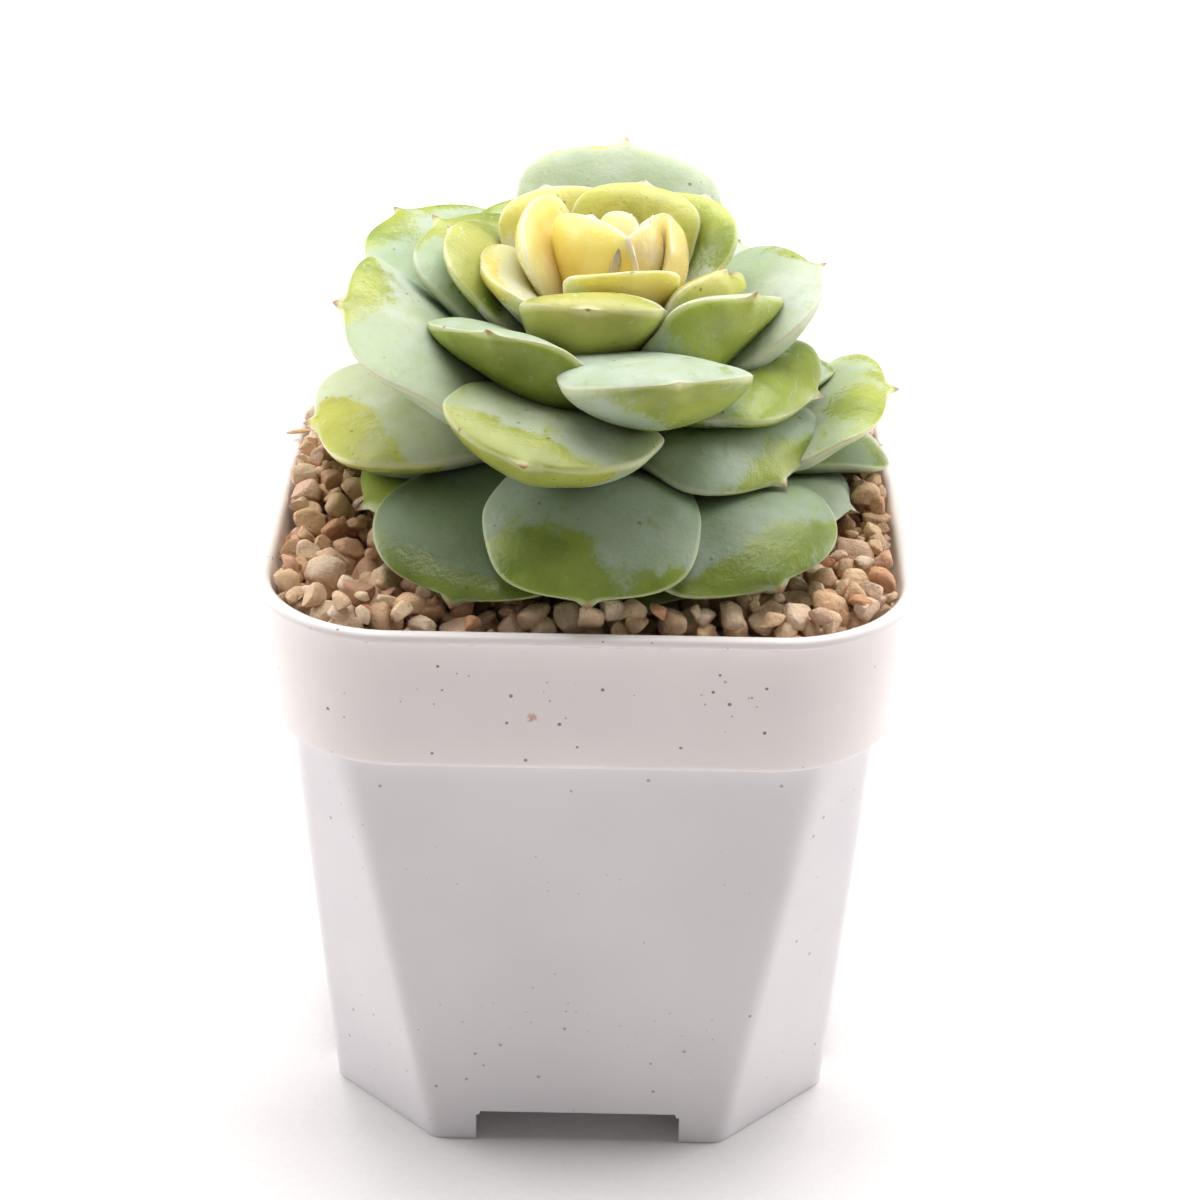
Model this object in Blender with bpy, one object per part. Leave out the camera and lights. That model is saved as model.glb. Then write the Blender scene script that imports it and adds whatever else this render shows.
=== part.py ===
"""Potted rosette succulent in a square plastic nursery pot.

Frame: origin on the floor at the middle of the foot of the pot, +Z up,
front of the pot towards -Y.  All dimensions below are millimetres and are
turned into metres when a mesh is made.
"""
import math

import bmesh
import bpy
import numpy as np
from mathutils import Vector
from mathutils.bvhtree import BVHTree

MM = 0.001

# ----------------------------------------------------------------- pot
POT_HEIGHT = 68.0
COLLAR_HEIGHT = 16.4
LIP_HALF = 35.0             # half width across the lip
LIP_RADIUS = 15.2
LIP_HEIGHT = 1.1
COLLAR_TOP_HALF = 34.15
COLLAR_BOTTOM_HALF = 33.4
COLLAR_WALL = 1.5
BODY_TOP_HALF = 31.2
BODY_FOOT_HALF = 28.2
BODY_RADIUS = 9.0
BODY_WALL = 1.4
CHAMFER_FOOT = 31.4         # distance of the corner chamfer from the axis
CHAMFER_SLOPE = 0.162       # how much that distance grows per mm of height
NOTCH_WIDTH = 23.0
NOTCH_HEIGHT = 4.1
FLOOR_UNDERSIDE = 4.4
FLOOR_THICKNESS = 1.6
FOOT_WALL = 2.0
DRAIN_RADIUS = 4.0
DRAIN_SMALL_RADIUS = 2.5
DRAIN_PITCH = 14.0
CORNER_STEPS = 9

# ------------------------------------------------------- soil, dressing
CLEAR = 0.3
SOIL_TOP = 60.5
DRESSING_TOP = 66.0
STEM_X, STEM_Y = 1.5, -0.5

# stem: (height, radius) from the root crown to the heart of the rosette
STEM = [(54.0, 2.2), (60.0, 3.8), (66.0, 5.0), (72.0, 5.2), (80.0, 4.4),
        (86.0, 3.0), (90.0, 1.6), (92.0, 0.6)]

# --------------------------------------------------------------- leaves
# The leaves climb the stem at an even pitch and are numbered from the heart
# of the rosette outwards.  GROWTH gives the nominal leaf at a few ranks and
# the ranks between are interpolated: rank, length, start and end elevation,
# width, thickness, cup, bluntness of the tip.
TOP_LEAF_HEIGHT = 89.8
LEAF_PITCH = 0.46
BASE_INSET = 0.7            # how far a leaf base sinks into the stem
GROWTH = [
    (1, 11.0, 80, 85, 11.0, 3.0, 0.18, 0.9),
    (5, 15.5, 50, 80, 14.0, 3.6, 0.12, 0.8),
    (9, 18.0, 50, 52, 15.0, 4.0, 0.10, 0.8),
    (13, 20.5, 44, 50, 16.5, 4.6, 0.08, 0.7),
    (16, 25.0, 32, 40, 21.5, 6.2, 0.08, 0.6),
    (22, 27.0, 30, 20, 23.0, 6.2, 0.08, 0.6),
    (28, 28.0, 20, 4, 23.5, 6.2, 0.05, 0.7),
    (32, 29.5, 15, -18, 23.0, 5.6, 0.00, 0.8),
    (38, 29.0, 15, -24, 22.5, 5.4, 0.02, 0.7),
    (44, 26.0, 14, -18, 22.0, 5.0, 0.02, 0.5),
]
# Heading of each leaf round the stem, and what sets it apart from the
# nominal leaf of its rank.
LEAF_PLACES = [
    (30, {}),                                       # three leaves closed over the heart
    (-20, {}),
    (-130, dict(e1=110, thick=3.6, blunt=1.0)),
    (14, dict(length=13, width=12)),
    (165, dict(width=15.5)),
    (-74, dict(length=13.5, e0=58, e1=50, width=12.5, thick=3.2)),
    (-165, dict(length=15, e0=32, e1=46)),
    (70, {}),
    (120, {}),
    (-96, dict(length=17.5, e0=42, e1=30, thick=7.2, lift=1)),
    (45, {}),
    (168, dict(e0=34)),
    (-16, dict(length=16, e0=50, e1=52, width=15, roll=-14)),
    (85, dict(length=26, roll=8, width=23.5)),           # tall leaf at the back
    (-76, dict(length=29, e0=9, e1=31, thick=7.5, lift=1)),     # broad front leaf
    (150, dict(length=22.5)),
    (-124, dict(length=20.5, e0=16, e1=42, roll=8, lift=2)),
    (-29, dict(length=19.5, e0=37, e1=50, roll=-28, width=19)),
    (-104, dict(length=28.5, e0=6, e1=12, thick=7, cup=0.2, roll=-8)),
    (105, {}),
    (140, dict(length=30)),
    (12, dict(length=24, e0=42, e1=28)),
    (-18, dict(length=20.5, e0=30, e1=-5, width=23.5)),
    (60, {}),
    (208, dict(length=28.6, e0=33, e1=22, width=25.4, roll=-12, sweep=-22, blunt=1.5, lift=2)),
    (-170, dict(e0=0, e1=2, width=27, thick=7, blunt=1.3)),
    (-41, dict(length=20.5, e0=18, e1=-24, width=22)),
    (30, dict(length=22, e1=-12)),
    (120, {}),
    (-3, dict(length=27.4, e1=8, width=24.6, blunt=1.5)),
    (80, {}),
    (-92, dict(length=29.8, e0=9, e1=-22, width=22.4, cup=-0.1)),   # front leaf over the rim
    (60, {}),
    (150, {}),
    (-124, dict(length=31.5, e0=26, e1=-37, thick=6, sweep=18)),
    (-58, dict(length=31, e0=26, e1=-30, thick=6.2, blunt=1.0)),
    (105, {}),
    (20, {}),
    (-80, dict(length=25, e1=-28)),
    (174, dict(e0=22, e1=4)),
    (-160, dict(length=23, e0=20)),
    (80, {}),
    (-14, dict(length=24, e0=22)),
    (130, {}),
]


def leaf_rows():
    """Full dimensions of every leaf, from its rank, heading and own traits."""
    ranks = [g[0] for g in GROWTH]
    names = ("length", "e0", "e1", "width", "thick", "cup", "blunt")
    stem_heights = [z for z, _ in STEM]
    stem_radii = [r for _, r in STEM]
    rows = []
    for rank, (heading, own) in enumerate(LEAF_PLACES, 1):
        leaf = {name: float(np.interp(rank, ranks, [g[k] for g in GROWTH]))
                for k, name in enumerate(names, 1)}
        leaf.update(roll=0.0, sweep=0.0, lift=0.0)
        leaf.update(own)
        height = TOP_LEAF_HEIGHT - LEAF_PITCH * rank + leaf["lift"]
        radius = max(1.9, float(np.interp(height, stem_heights, stem_radii)) - BASE_INSET)
        group = ("heart" if rank in (1, 2, 3, 5) else "inner" if rank <= 13
                 else "outer" if rank <= 31 else "lower")
        rows.append((heading, radius, height, leaf["length"], leaf["e0"], leaf["e1"],
                     leaf["width"], leaf["thick"], leaf["cup"], leaf["roll"],
                     leaf["sweep"], group, leaf["blunt"]))
    return rows


LEAF_SEGMENTS = 10          # points around a leaf section
LEAF_RINGS = 8              # sections between base and tip
LEAF_GAP = 0.35             # air between neighbouring leaves
FLOOR_OF_LEAVES = 66.6      # no leaf sinks below this height
OPEN_FROM = 0.38            # beyond this part of its length a leaf stands clear
MAX_GIVE = 2.6              # how far a neighbour may press a leaf aside
TRIM_GAP = 0.3              # air left where a base is trimmed to its neighbour
WIDER_GAPS = (0.36, 0.44, 0.54, 0.66)   # used where that gap leaves a spot of contact
WELD = 0.00004              # weld distance for the trimmed edges, in metres
TROUBLE = []


# ============================================================ utilities
def clear_scene():
    for ob in list(bpy.data.objects):
        bpy.data.objects.remove(ob, do_unlink=True)
    for coll in list(bpy.data.collections):
        bpy.data.collections.remove(coll)


def make_collection(name):
    coll = bpy.data.collections.new(name)
    bpy.context.scene.collection.children.link(coll)
    return coll


def principled(name, color, roughness, metallic=0.0, subsurface=0.0):
    mat = bpy.data.materials.new(name)
    mat.use_nodes = True
    bsdf = mat.node_tree.nodes["Principled BSDF"]
    bsdf.inputs["Base Color"].default_value = (*color, 1.0)
    bsdf.inputs["Roughness"].default_value = roughness
    bsdf.inputs["Metallic"].default_value = metallic
    bsdf.inputs["Subsurface Weight"].default_value = subsurface
    mat.diffuse_color = (*color, 1.0)
    return mat


def add_object(name, bm, coll, mat=None, smooth=False):
    bmesh.ops.recalc_face_normals(bm, faces=bm.faces)
    if bm.calc_volume(signed=True) < 0:
        bmesh.ops.reverse_faces(bm, faces=bm.faces)
    mesh = bpy.data.meshes.new(name)
    bm.to_mesh(mesh)
    bm.free()
    if smooth:
        mesh.shade_smooth()
    ob = bpy.data.objects.new(name, mesh)
    if mat is not None:
        mesh.materials.append(mat)
    coll.objects.link(ob)
    return ob


def as_cutter(ob):
    ob.hide_render = True
    ob.display_type = 'WIRE'
    return ob


def boolean(ob, cutter, operation, name):
    mod = ob.modifiers.new(name, 'BOOLEAN')
    mod.operation = operation
    mod.object = cutter
    mod.solver = 'EXACT'
    return mod


def rounded_square(half, radius, steps=CORNER_STEPS):
    """Outline of a rounded square, anticlockwise, as (x, y) in mm."""
    points = []
    for k, (sx, sy) in enumerate(((1, 1), (-1, 1), (-1, -1), (1, -1))):
        for i in range(steps + 1):
            a = math.radians(90.0 * k + 90.0 * i / steps)
            points.append((sx * (half - radius) + radius * math.cos(a),
                           sy * (half - radius) + radius * math.sin(a)))
    return points


def loft(sections):
    """Closed solid through a list of (z, outline) sections with equal counts."""
    bm = bmesh.new()
    rings = [[bm.verts.new((x * MM, y * MM, z * MM)) for x, y in outline]
             for z, outline in sections]
    n = len(rings[0])
    for lo, hi in zip(rings[:-1], rings[1:]):
        for i in range(n):
            j = (i + 1) % n
            bm.faces.new((lo[i], lo[j], hi[j], hi[i]))
    bm.faces.new(list(reversed(rings[0])))
    bm.faces.new(rings[-1])
    return bm


def square_loft(rows):
    """Rounded-square loft from rows of (z, half width, corner radius)."""
    return loft([(z, rounded_square(half, radius)) for z, half, radius in rows])


def diamond_loft(z0, z1, inset):
    """Square turned by 45 degrees whose faces are the corner chamfers."""
    def outline(z):
        d = (CHAMFER_FOOT + CHAMFER_SLOPE * z - inset) * math.sqrt(2.0)
        return [(d, 0), (0, d), (-d, 0), (0, -d)]
    return loft([(z0, outline(z0)), (z1, outline(z1))])


def body_half(z):
    t = z / (POT_HEIGHT - COLLAR_HEIGHT)
    return BODY_FOOT_HALF + (BODY_TOP_HALF - BODY_FOOT_HALF) * t


# ================================================================== pot
def build_pot(coll, cutters, mat):
    collar_z = POT_HEIGHT - COLLAR_HEIGHT
    h = POT_HEIGHT
    pot = add_object("pot", square_loft([
        (0.0, body_half(0.0), BODY_RADIUS),
        (collar_z + 0.6, body_half(collar_z + 0.6), BODY_RADIUS)]), coll, mat)
    chamfers = as_cutter(add_object("cut_corner_chamfers",
                                    diamond_loft(-2.0, 60.0, 0.0), cutters))
    collar = as_cutter(add_object("add_collar", square_loft([
        (collar_z, COLLAR_BOTTOM_HALF - 0.55, 13.6),
        (collar_z + 0.25, COLLAR_BOTTOM_HALF - 0.15, 13.9),
        (collar_z + 0.8, COLLAR_BOTTOM_HALF, 14.1),
        (h - LIP_HEIGHT - 0.25, COLLAR_TOP_HALF, 14.6),
        (h - LIP_HEIGHT, COLLAR_TOP_HALF + 0.25, 14.8),
        (h - LIP_HEIGHT + 0.15, LIP_HALF - 0.1, LIP_RADIUS),
        (h - 0.7, LIP_HALF, LIP_RADIUS),
        (h - 0.25, LIP_HALF - 0.2, LIP_RADIUS - 0.1),
        (h, LIP_HALF - 0.65, LIP_RADIUS - 0.4)]), cutters))
    collar_bore = as_cutter(add_object("cut_collar_bore", square_loft([
        (collar_z + 1.6, COLLAR_BOTTOM_HALF - COLLAR_WALL, 12.6),
        (h - 1.0, LIP_HALF - 1.75, 13.5),
        (h - 0.3, LIP_HALF - 1.6, 13.6),
        (h, LIP_HALF - 1.25, 13.9),
        (h + 2.0, LIP_HALF - 1.25, 13.9)]), cutters))
    floor_top = FLOOR_UNDERSIDE + FLOOR_THICKNESS
    inside_chamfers = as_cutter(add_object("cut_inside_chamfers",
                                           diamond_loft(-3.0, 62.0, BODY_WALL), cutters))
    body_bore = as_cutter(add_object("cut_body_bore", square_loft([
        (floor_top, body_half(floor_top) - BODY_WALL, BODY_RADIUS - BODY_WALL),
        (collar_z + 3.0, body_half(collar_z + 3.0) - BODY_WALL,
         BODY_RADIUS - BODY_WALL)]), cutters))
    boolean(body_bore, inside_chamfers, 'INTERSECT', "chamfers")
    foot_chamfers = as_cutter(add_object("cut_foot_chamfers",
                                         diamond_loft(-3.0, 8.0, FOOT_WALL), cutters))
    foot_recess = as_cutter(add_object("cut_foot_recess", square_loft([
        (-1.0, body_half(0) - FOOT_WALL, BODY_RADIUS - FOOT_WALL),
        (FLOOR_UNDERSIDE, body_half(FLOOR_UNDERSIDE) - FOOT_WALL,
         BODY_RADIUS - FOOT_WALL)]), cutters))
    boolean(foot_recess, foot_chamfers, 'INTERSECT', "chamfers")

    boolean(pot, chamfers, 'INTERSECT', "corner_chamfers")
    boolean(pot, collar, 'UNION', "collar")
    boolean(pot, collar_bore, 'DIFFERENCE', "collar_bore")
    boolean(pot, body_bore, 'DIFFERENCE', "body_bore")
    boolean(pot, foot_recess, 'DIFFERENCE', "foot_recess")
    for name, size in (("x", (90.0, NOTCH_WIDTH)), ("y", (NOTCH_WIDTH, 90.0))):
        bm = bmesh.new()
        bmesh.ops.create_cube(bm, size=1.0)
        for v in bm.verts:
            v.co = Vector((v.co.x * size[0] * MM, v.co.y * size[1] * MM,
                           (v.co.z + 0.5) * (NOTCH_HEIGHT + 1.0) * MM - 1.0 * MM))
        cut = as_cutter(add_object("cut_notch_" + name, bm, cutters))
        boolean(pot, cut, 'DIFFERENCE', "notch_" + name)
    holes = [(0.0, 0.0, DRAIN_RADIUS)]
    for sx, sy in ((1, 1), (-1, 1), (-1, -1), (1, -1)):
        holes.append((sx * DRAIN_PITCH, sy * DRAIN_PITCH, DRAIN_SMALL_RADIUS))
    for i, (x, y, r) in enumerate(holes):
        bm = bmesh.new()
        bmesh.ops.create_cone(bm, cap_ends=True, segments=16, radius1=r * MM,
                              radius2=r * MM, depth=6.0 * MM)
        bmesh.ops.translate(bm, verts=bm.verts, vec=(x * MM, y * MM, 5.2 * MM))
        cut = as_cutter(add_object("cut_drain_%d" % i, bm, cutters))
        boolean(pot, cut, 'DIFFERENCE', "drain_%d" % i)
    return pot


# ================================================= stem, soil, dressing
def stem_solid(grow=0.0):
    bm = bmesh.new()
    n = 14
    rings = []
    rows = [(z, r + grow) for z, r in STEM]
    rows[0] = (rows[0][0] - grow, rows[0][1])
    rows[-1] = (rows[-1][0] + grow, rows[-1][1])
    for z, r in rows:
        rings.append([bm.verts.new(((STEM_X + r * math.cos(2 * math.pi * i / n)) * MM,
                                    (STEM_Y + r * math.sin(2 * math.pi * i / n)) * MM,
                                    z * MM)) for i in range(n)])
    for lo, hi in zip(rings[:-1], rings[1:]):
        for i in range(n):
            j = (i + 1) % n
            bm.faces.new((lo[i], lo[j], hi[j], hi[i]))
    bm.faces.new(list(reversed(rings[0])))
    bm.faces.new(rings[-1])
    bmesh.ops.triangulate(bm, faces=bm.faces)
    return bm


def build_stem(coll, mat):
    return add_object("stem", stem_solid(), coll, mat, smooth=True)


def stem_radius(z):
    return float(np.interp(z, [s[0] for s in STEM], [s[1] for s in STEM]))


def build_soil(coll, cutters, mat):
    collar_z = POT_HEIGHT - COLLAR_HEIGHT
    z0 = FLOOR_UNDERSIDE + FLOOR_THICKNESS + CLEAR
    z1 = collar_z + 1.6
    soil = add_object("potting_soil", square_loft([
        (z0, body_half(z0) - BODY_WALL - CLEAR, BODY_RADIUS - BODY_WALL - CLEAR),
        (z1 + CLEAR, body_half(z1) - BODY_WALL - CLEAR,
         BODY_RADIUS - BODY_WALL - CLEAR)]), coll, mat)
    chamfers = as_cutter(add_object("cut_soil_chamfers",
                                    diamond_loft(-3.0, 62.0, BODY_WALL + CLEAR), cutters))
    boolean(soil, chamfers, 'INTERSECT', "chamfers")
    upper_half = COLLAR_BOTTOM_HALF - COLLAR_WALL - CLEAR
    upper = as_cutter(add_object("add_soil_upper", square_loft([
        (z1 + CLEAR - 0.001, upper_half, 12.3),
        (SOIL_TOP, upper_half + 0.2, 12.4)]), cutters))
    boolean(soil, upper, 'UNION', "upper")
    bm = bmesh.new()
    n = 12
    rows = [(z, r) for z, r in STEM if z < 66.5]
    rows = [(rows[0][0] - 0.4, rows[0][1] + 0.4)] + [(z, r + 0.4) for z, r in rows[1:]]
    rings = [[bm.verts.new(((STEM_X + r * math.cos(2 * math.pi * i / n)) * MM,
                            (STEM_Y + r * math.sin(2 * math.pi * i / n)) * MM, z * MM))
              for i in range(n)] for z, r in rows]
    for lo, hi in zip(rings[:-1], rings[1:]):
        for i in range(n):
            j = (i + 1) % n
            bm.faces.new((lo[i], lo[j], hi[j], hi[i]))
    bm.faces.new(list(reversed(rings[0])))
    bm.faces.new(rings[-1])
    socket = as_cutter(add_object("cut_stem_socket", bm, cutters))
    boolean(soil, socket, 'DIFFERENCE', "stem_socket")
    return soil


def lump(x, y):
    """Gentle fixed waviness of the dressing, in mm."""
    return (0.55 * math.sin(0.9 * x + 1.3) * math.cos(0.8 * y - 0.4)
            + 0.35 * math.sin(1.7 * x - 0.6 * y + 2.0)
            + 0.25 * math.cos(1.1 * x + 1.9 * y))


def build_dressing(coll, mat, leaves):
    """Bed of loose grains: a ring between the stem and the wall of the pot."""
    rings_n, around = 9, 4 * (CORNER_STEPS + 1)
    outer_low = rounded_square(LIP_HALF - 2.45, 12.8)
    outer_top = rounded_square(LIP_HALF - 2.2, 13.0)
    inner_r = stem_radius(63.0) + 1.4
    low_z = SOIL_TOP + CLEAR
    trees = [tree for tree in leaves]
    bm = bmesh.new()

    def grid(outline, z_of):
        rows = []
        for k in range(rings_n):
            t = k / (rings_n - 1.0)
            row = []
            for x, y in outline:
                a = math.atan2(y, x)
                ix, iy = STEM_X + inner_r * math.cos(a), STEM_Y + inner_r * math.sin(a)
                px, py = ix + (x - ix) * t, iy + (y - iy) * t
                row.append(bm.verts.new((px * MM, py * MM, z_of(px, py, t) * MM)))
            rows.append(row)
        return rows

    def top_z(x, y, t):
        z = DRESSING_TOP + lump(x, y) - 0.9 * (1.0 - t) + 0.6 * max(0.0, t - 0.6)
        for tree in trees:
            for dx, dy in ((0, 0), (1.2, 0), (-1.2, 0), (0, 1.2), (0, -1.2)):
                hit = tree.ray_cast(Vector((x + dx, y + dy, 50.0)), Vector((0, 0, 1)), 40.0)
                if hit[0] is not None:
                    z = min(z, hit[0].z - 0.9)
        return max(z, low_z + 1.2)

    low = grid(outer_low, lambda x, y, t: low_z)
    top = grid(outer_top, top_z)
    for k in range(rings_n - 1):
        for i in range(around):
            j = (i + 1) % around
            bm.faces.new((top[k][i], top[k][j], top[k + 1][j], top[k + 1][i]))
            bm.faces.new((low[k][i], low[k + 1][i], low[k + 1][j], low[k][j]))
    for i in range(around):
        j = (i + 1) % around
        bm.faces.new((low[-1][i], low[-1][j], top[-1][j], top[-1][i]))
        bm.faces.new((low[0][i], top[0][i], top[0][j], low[0][j]))
    return add_object("gravel_top_dressing", bm, coll, mat)


# =============================================================== leaves
def width_profile(s, blunt):
    """Share of the full width along the leaf; blunt fills out the shoulders."""
    peak = 0.62 + 0.04 * blunt
    rise = 0.20 + 0.80 * np.sin(np.pi / 2 * np.clip(s / peak, 0, 1)) ** 1.05
    t = np.clip((s - peak) / (1 - peak), 0, 1)
    fall = np.clip(1 - t ** (2.5 + 0.9 * blunt), 0, 1) ** (1 / (1.7 + 0.6 * blunt))
    return np.where(s < peak, rise, fall)


def thickness_profile(s):
    rise = 0.30 + 0.70 * np.sin(np.pi / 2 * np.clip(s / 0.5, 0, 1))
    t = np.clip((s - 0.5) / 0.5, 0, 1)
    fall = np.clip(1 - t ** 2.6, 0, 1) ** 0.62
    return np.where(s < 0.5, rise, fall)


class Leaf:
    """A thick pointed leaf: lens-shaped sections along a curved midrib."""

    def __init__(self, row, rings=LEAF_RINGS, segments=LEAF_SEGMENTS):
        (self.heading, self.radius, self.height, self.length, self.e0, self.e1,
         self.width, self.thick, self.cup, self.roll, self.sweep, self.group,
         self.blunt) = row
        self.rings, self.segments = rings, segments
        self.columns = segments // 2 + 1
        self.shift = np.zeros((rings, self.columns))
        self.thin = np.ones((rings, self.columns))
        self.prepare()

    def stations(self):
        q = (np.arange(self.rings) + 0.35) / (self.rings - 0.3)
        return 1 - (1 - q) ** 1.4

    def frames(self, s):
        fine = np.linspace(0, 1, 81)
        e = np.radians(self.e0 + (self.e1 - self.e0) * fine)
        h = np.radians(self.heading + self.sweep * fine)
        d = np.stack([np.cos(e) * np.cos(h), np.cos(e) * np.sin(h), np.sin(e)], 1)
        c = np.zeros((81, 3))
        c[1:] = np.cumsum((d[1:] + d[:-1]) / 2 * self.length / 80, 0)
        a = math.radians(self.heading)
        c += np.array([STEM_X + self.radius * math.cos(a),
                       STEM_Y + self.radius * math.sin(a), self.height])
        centre = np.stack([np.interp(s, fine, c[:, k]) for k in range(3)], 1)
        e = np.radians(self.e0 + (self.e1 - self.e0) * s)
        h = np.radians(self.heading + self.sweep * s)
        t = np.stack([np.cos(e) * np.cos(h), np.cos(e) * np.sin(h), np.sin(e)], 1)
        b = np.stack([-np.sin(h), np.cos(h), 0 * h], 1)
        n = np.cross(t, b)
        r = math.radians(self.roll)
        return centre, t, math.cos(r) * b + math.sin(r) * n, math.cos(r) * n - math.sin(r) * b

    def prepare(self):
        s = self.stations()
        self.s = s
        self.centre, self.tangent, self.side, self.normal = self.frames(s)
        th = np.linspace(0, 2 * np.pi, self.segments, endpoint=False)
        self.x = np.cos(th)
        z = np.sign(np.sin(th)) * np.abs(np.sin(th)) ** 1.45
        self.z = np.where(z > 0, z * 0.42, z * 0.58)
        self.col = np.minimum(np.arange(self.segments),
                              self.segments - np.arange(self.segments))
        self.w = self.width / 2 * width_profile(s, self.blunt)
        self.t = self.thick * thickness_profile(s)
        ends, tan, _, nor = self.frames(np.array([0.0, 1.0]))
        self.base, self.tip = ends[0] - tan[0] * 0.2, ends[1] + tan[1] * 0.7
        self.base_normal, self.tip_normal = nor[0], nor[1]

    def grid(self, grow=0.0):
        cup = self.cup * self.width / 2 * width_profile(self.s, self.blunt) ** 2
        sh = self.shift[:, self.col]
        th = self.thin[:, self.col]
        lift = self.z[None, :] * self.t[:, None] * th + cup[:, None] * self.x[None, :] ** 2 + sh
        lift = lift + 1.4 * grow * np.sign(np.round(self.z, 3))[None, :]
        across = self.x[None, :] * (self.w[:, None] + 2.0 * grow)
        along = self.tangent * (grow * (1.2 * self.s ** 3 - 0.6 * (1 - self.s) ** 6))[:, None]
        return ((self.centre + along)[:, None, :] + self.side[:, None, :] * across[:, :, None]
                + self.normal[:, None, :] * lift[:, :, None])

    def points(self, grow=0.0):
        """Grid points, then the base pole and the tip pole."""
        g = self.grid(grow)
        mid = self.columns // 2
        base = self.base + self.base_normal * self.shift[0, mid] - self.tangent[0] * 2.0 * grow
        tip = self.tip + self.tip_normal * self.shift[-1, mid] + self.tangent[-1] * 3.5 * grow
        return np.concatenate([g.reshape(-1, 3), base[None], tip[None]])

    def faces(self):
        r, n = self.rings, self.segments
        out = []
        for i in range(r - 1):
            for j in range(n):
                k = (j + 1) % n
                out.append((i * n + j, i * n + k, (i + 1) * n + k, (i + 1) * n + j))
        for j in range(n):
            k = (j + 1) % n
            out.append((r * n, k, j))
            out.append((r * n + 1, (r - 1) * n + j, (r - 1) * n + k))
        return out

    def triangles(self):
        out = []
        for f in self.faces():
            if len(f) == 4:
                out.append((f[0], f[1], f[2]))
                out.append((f[0], f[2], f[3]))
            else:
                out.append(f)
        return out


def blur(field):
    p = np.pad(field, 1, mode='edge')
    return (p[:-2, 1:-1] + p[2:, 1:-1] + p[1:-1, :-2] + p[1:-1, 2:]
            + 4 * p[1:-1, 1:-1]) / 8.0


def settle(leaves, rounds=16):
    """Let neighbouring leaves give way to each other where they spread out.

    The leaves come in order from the heart outwards, so of any two that
    meet, the earlier one lies above (inside) the later one.  The crowded
    bases round the stem are left alone; they are trimmed afterwards.
    """
    tris = [leaf.triangles() for leaf in leaves]
    open_ring = [int(np.argmax(leaf.s > OPEN_FROM)) for leaf in leaves]
    for turn in range(rounds):
        pts = [leaf.points() for leaf in leaves]
        trees = [BVHTree.FromPolygons([Vector(p) for p in q], t) for q, t in zip(pts, tris)]
        lo = np.array([q.min(0) for q in pts]) - 0.6
        hi = np.array([q.max(0) for q in pts]) + 0.6
        for a, leaf in enumerate(leaves):
            up = np.zeros((leaf.rings, leaf.segments))
            down = np.zeros((leaf.rings, leaf.segments))
            near = [b for b in range(len(leaves)) if b != a
                    and np.all(lo[a] < hi[b]) and np.all(lo[b] < hi[a])]
            for i in range(open_ring[a], leaf.rings):
                n = leaf.normal[i]
                for j in range(leaf.segments):
                    p = pts[a][i * leaf.segments + j]
                    v = Vector(p)
                    for b in near:
                        if np.any(p < lo[b]) or np.any(p > hi[b]):
                            continue
                        loc, nor, face, dist = trees[b].find_nearest(v, 4.0)
                        if loc is None or face // (2 * leaf.segments) < open_ring[b] - 1:
                            continue
                        inside = (v - loc).dot(nor) < 0
                        gap = LEAF_GAP - (-dist if inside else dist)
                        if gap <= 0:
                            continue
                        along = max(0.2, abs(float(np.dot(n, nor))))
                        push = min(gap * along, 1.2)
                        if a < b:
                            up[i, j] = max(up[i, j], 0.35 * push)
                        else:
                            down[i, j] = max(down[i, j], 0.65 * push)
                    if p[2] < FLOOR_OF_LEAVES:
                        up[i, j] = max(up[i, j], min(1.0, FLOOR_OF_LEAVES - p[2]))
            cu = np.zeros_like(leaf.shift)
            cd = np.zeros_like(leaf.shift)
            for j in range(leaf.segments):
                c = leaf.col[j]
                cu[:, c] = np.maximum(cu[:, c], up[:, j])
                cd[:, c] = np.maximum(cd[:, c], down[:, j])
            squeeze = np.minimum(cu, cd)
            leaf.thin = np.clip(blur(leaf.thin - 0.3 * squeeze / np.maximum(leaf.t[:, None], 0.5)),
                                0.7, 1.0)
            step = blur(blur(cu - cd))
            leaf.shift = np.clip(leaf.shift + step, -MAX_GIVE, MAX_GIVE)
            leaf.shift = 0.8 * leaf.shift + 0.2 * blur(leaf.shift)


def leaf_mesh(leaf, grow=0.0):
    """Mesh of one leaf, bent from a UV sphere; grow swells it evenly."""
    pts = leaf.points(grow)
    bm = bmesh.new()
    bmesh.ops.create_uvsphere(bm, u_segments=leaf.segments,
                              v_segments=leaf.rings + 1, radius=1.0)
    bmesh.ops.triangulate(bm, faces=bm.faces, quad_method='FIXED')
    for v in bm.verts:
        polar = math.acos(max(-1.0, min(1.0, -v.co.z)))
        i = int(round(polar / math.pi * (leaf.rings + 1))) - 1
        if i < 0:
            p = pts[-2]
        elif i >= leaf.rings:
            p = pts[-1]
        else:
            turn = math.atan2(v.co.y, v.co.x) % (2 * math.pi)
            j = int(round(turn / (2 * math.pi) * leaf.segments)) % leaf.segments
            p = pts[i * leaf.segments + j]
        v.co = Vector((p[0] * MM, p[1] * MM, p[2] * MM))
    bmesh.ops.recalc_face_normals(bm, faces=bm.faces)
    if bm.calc_volume(signed=True) < 0:
        bmesh.ops.reverse_faces(bm, faces=bm.faces)
    mesh = bpy.data.meshes.new("leaf")
    bm.to_mesh(mesh)
    bm.free()
    return mesh


def sound(bm):
    """Volume of a mesh if it is closed, else zero."""
    closed = bool(bm.faces) and all(len(e.link_faces) == 2 for e in bm.edges)
    return bm.calc_volume(signed=True) if closed else 0.0


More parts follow.
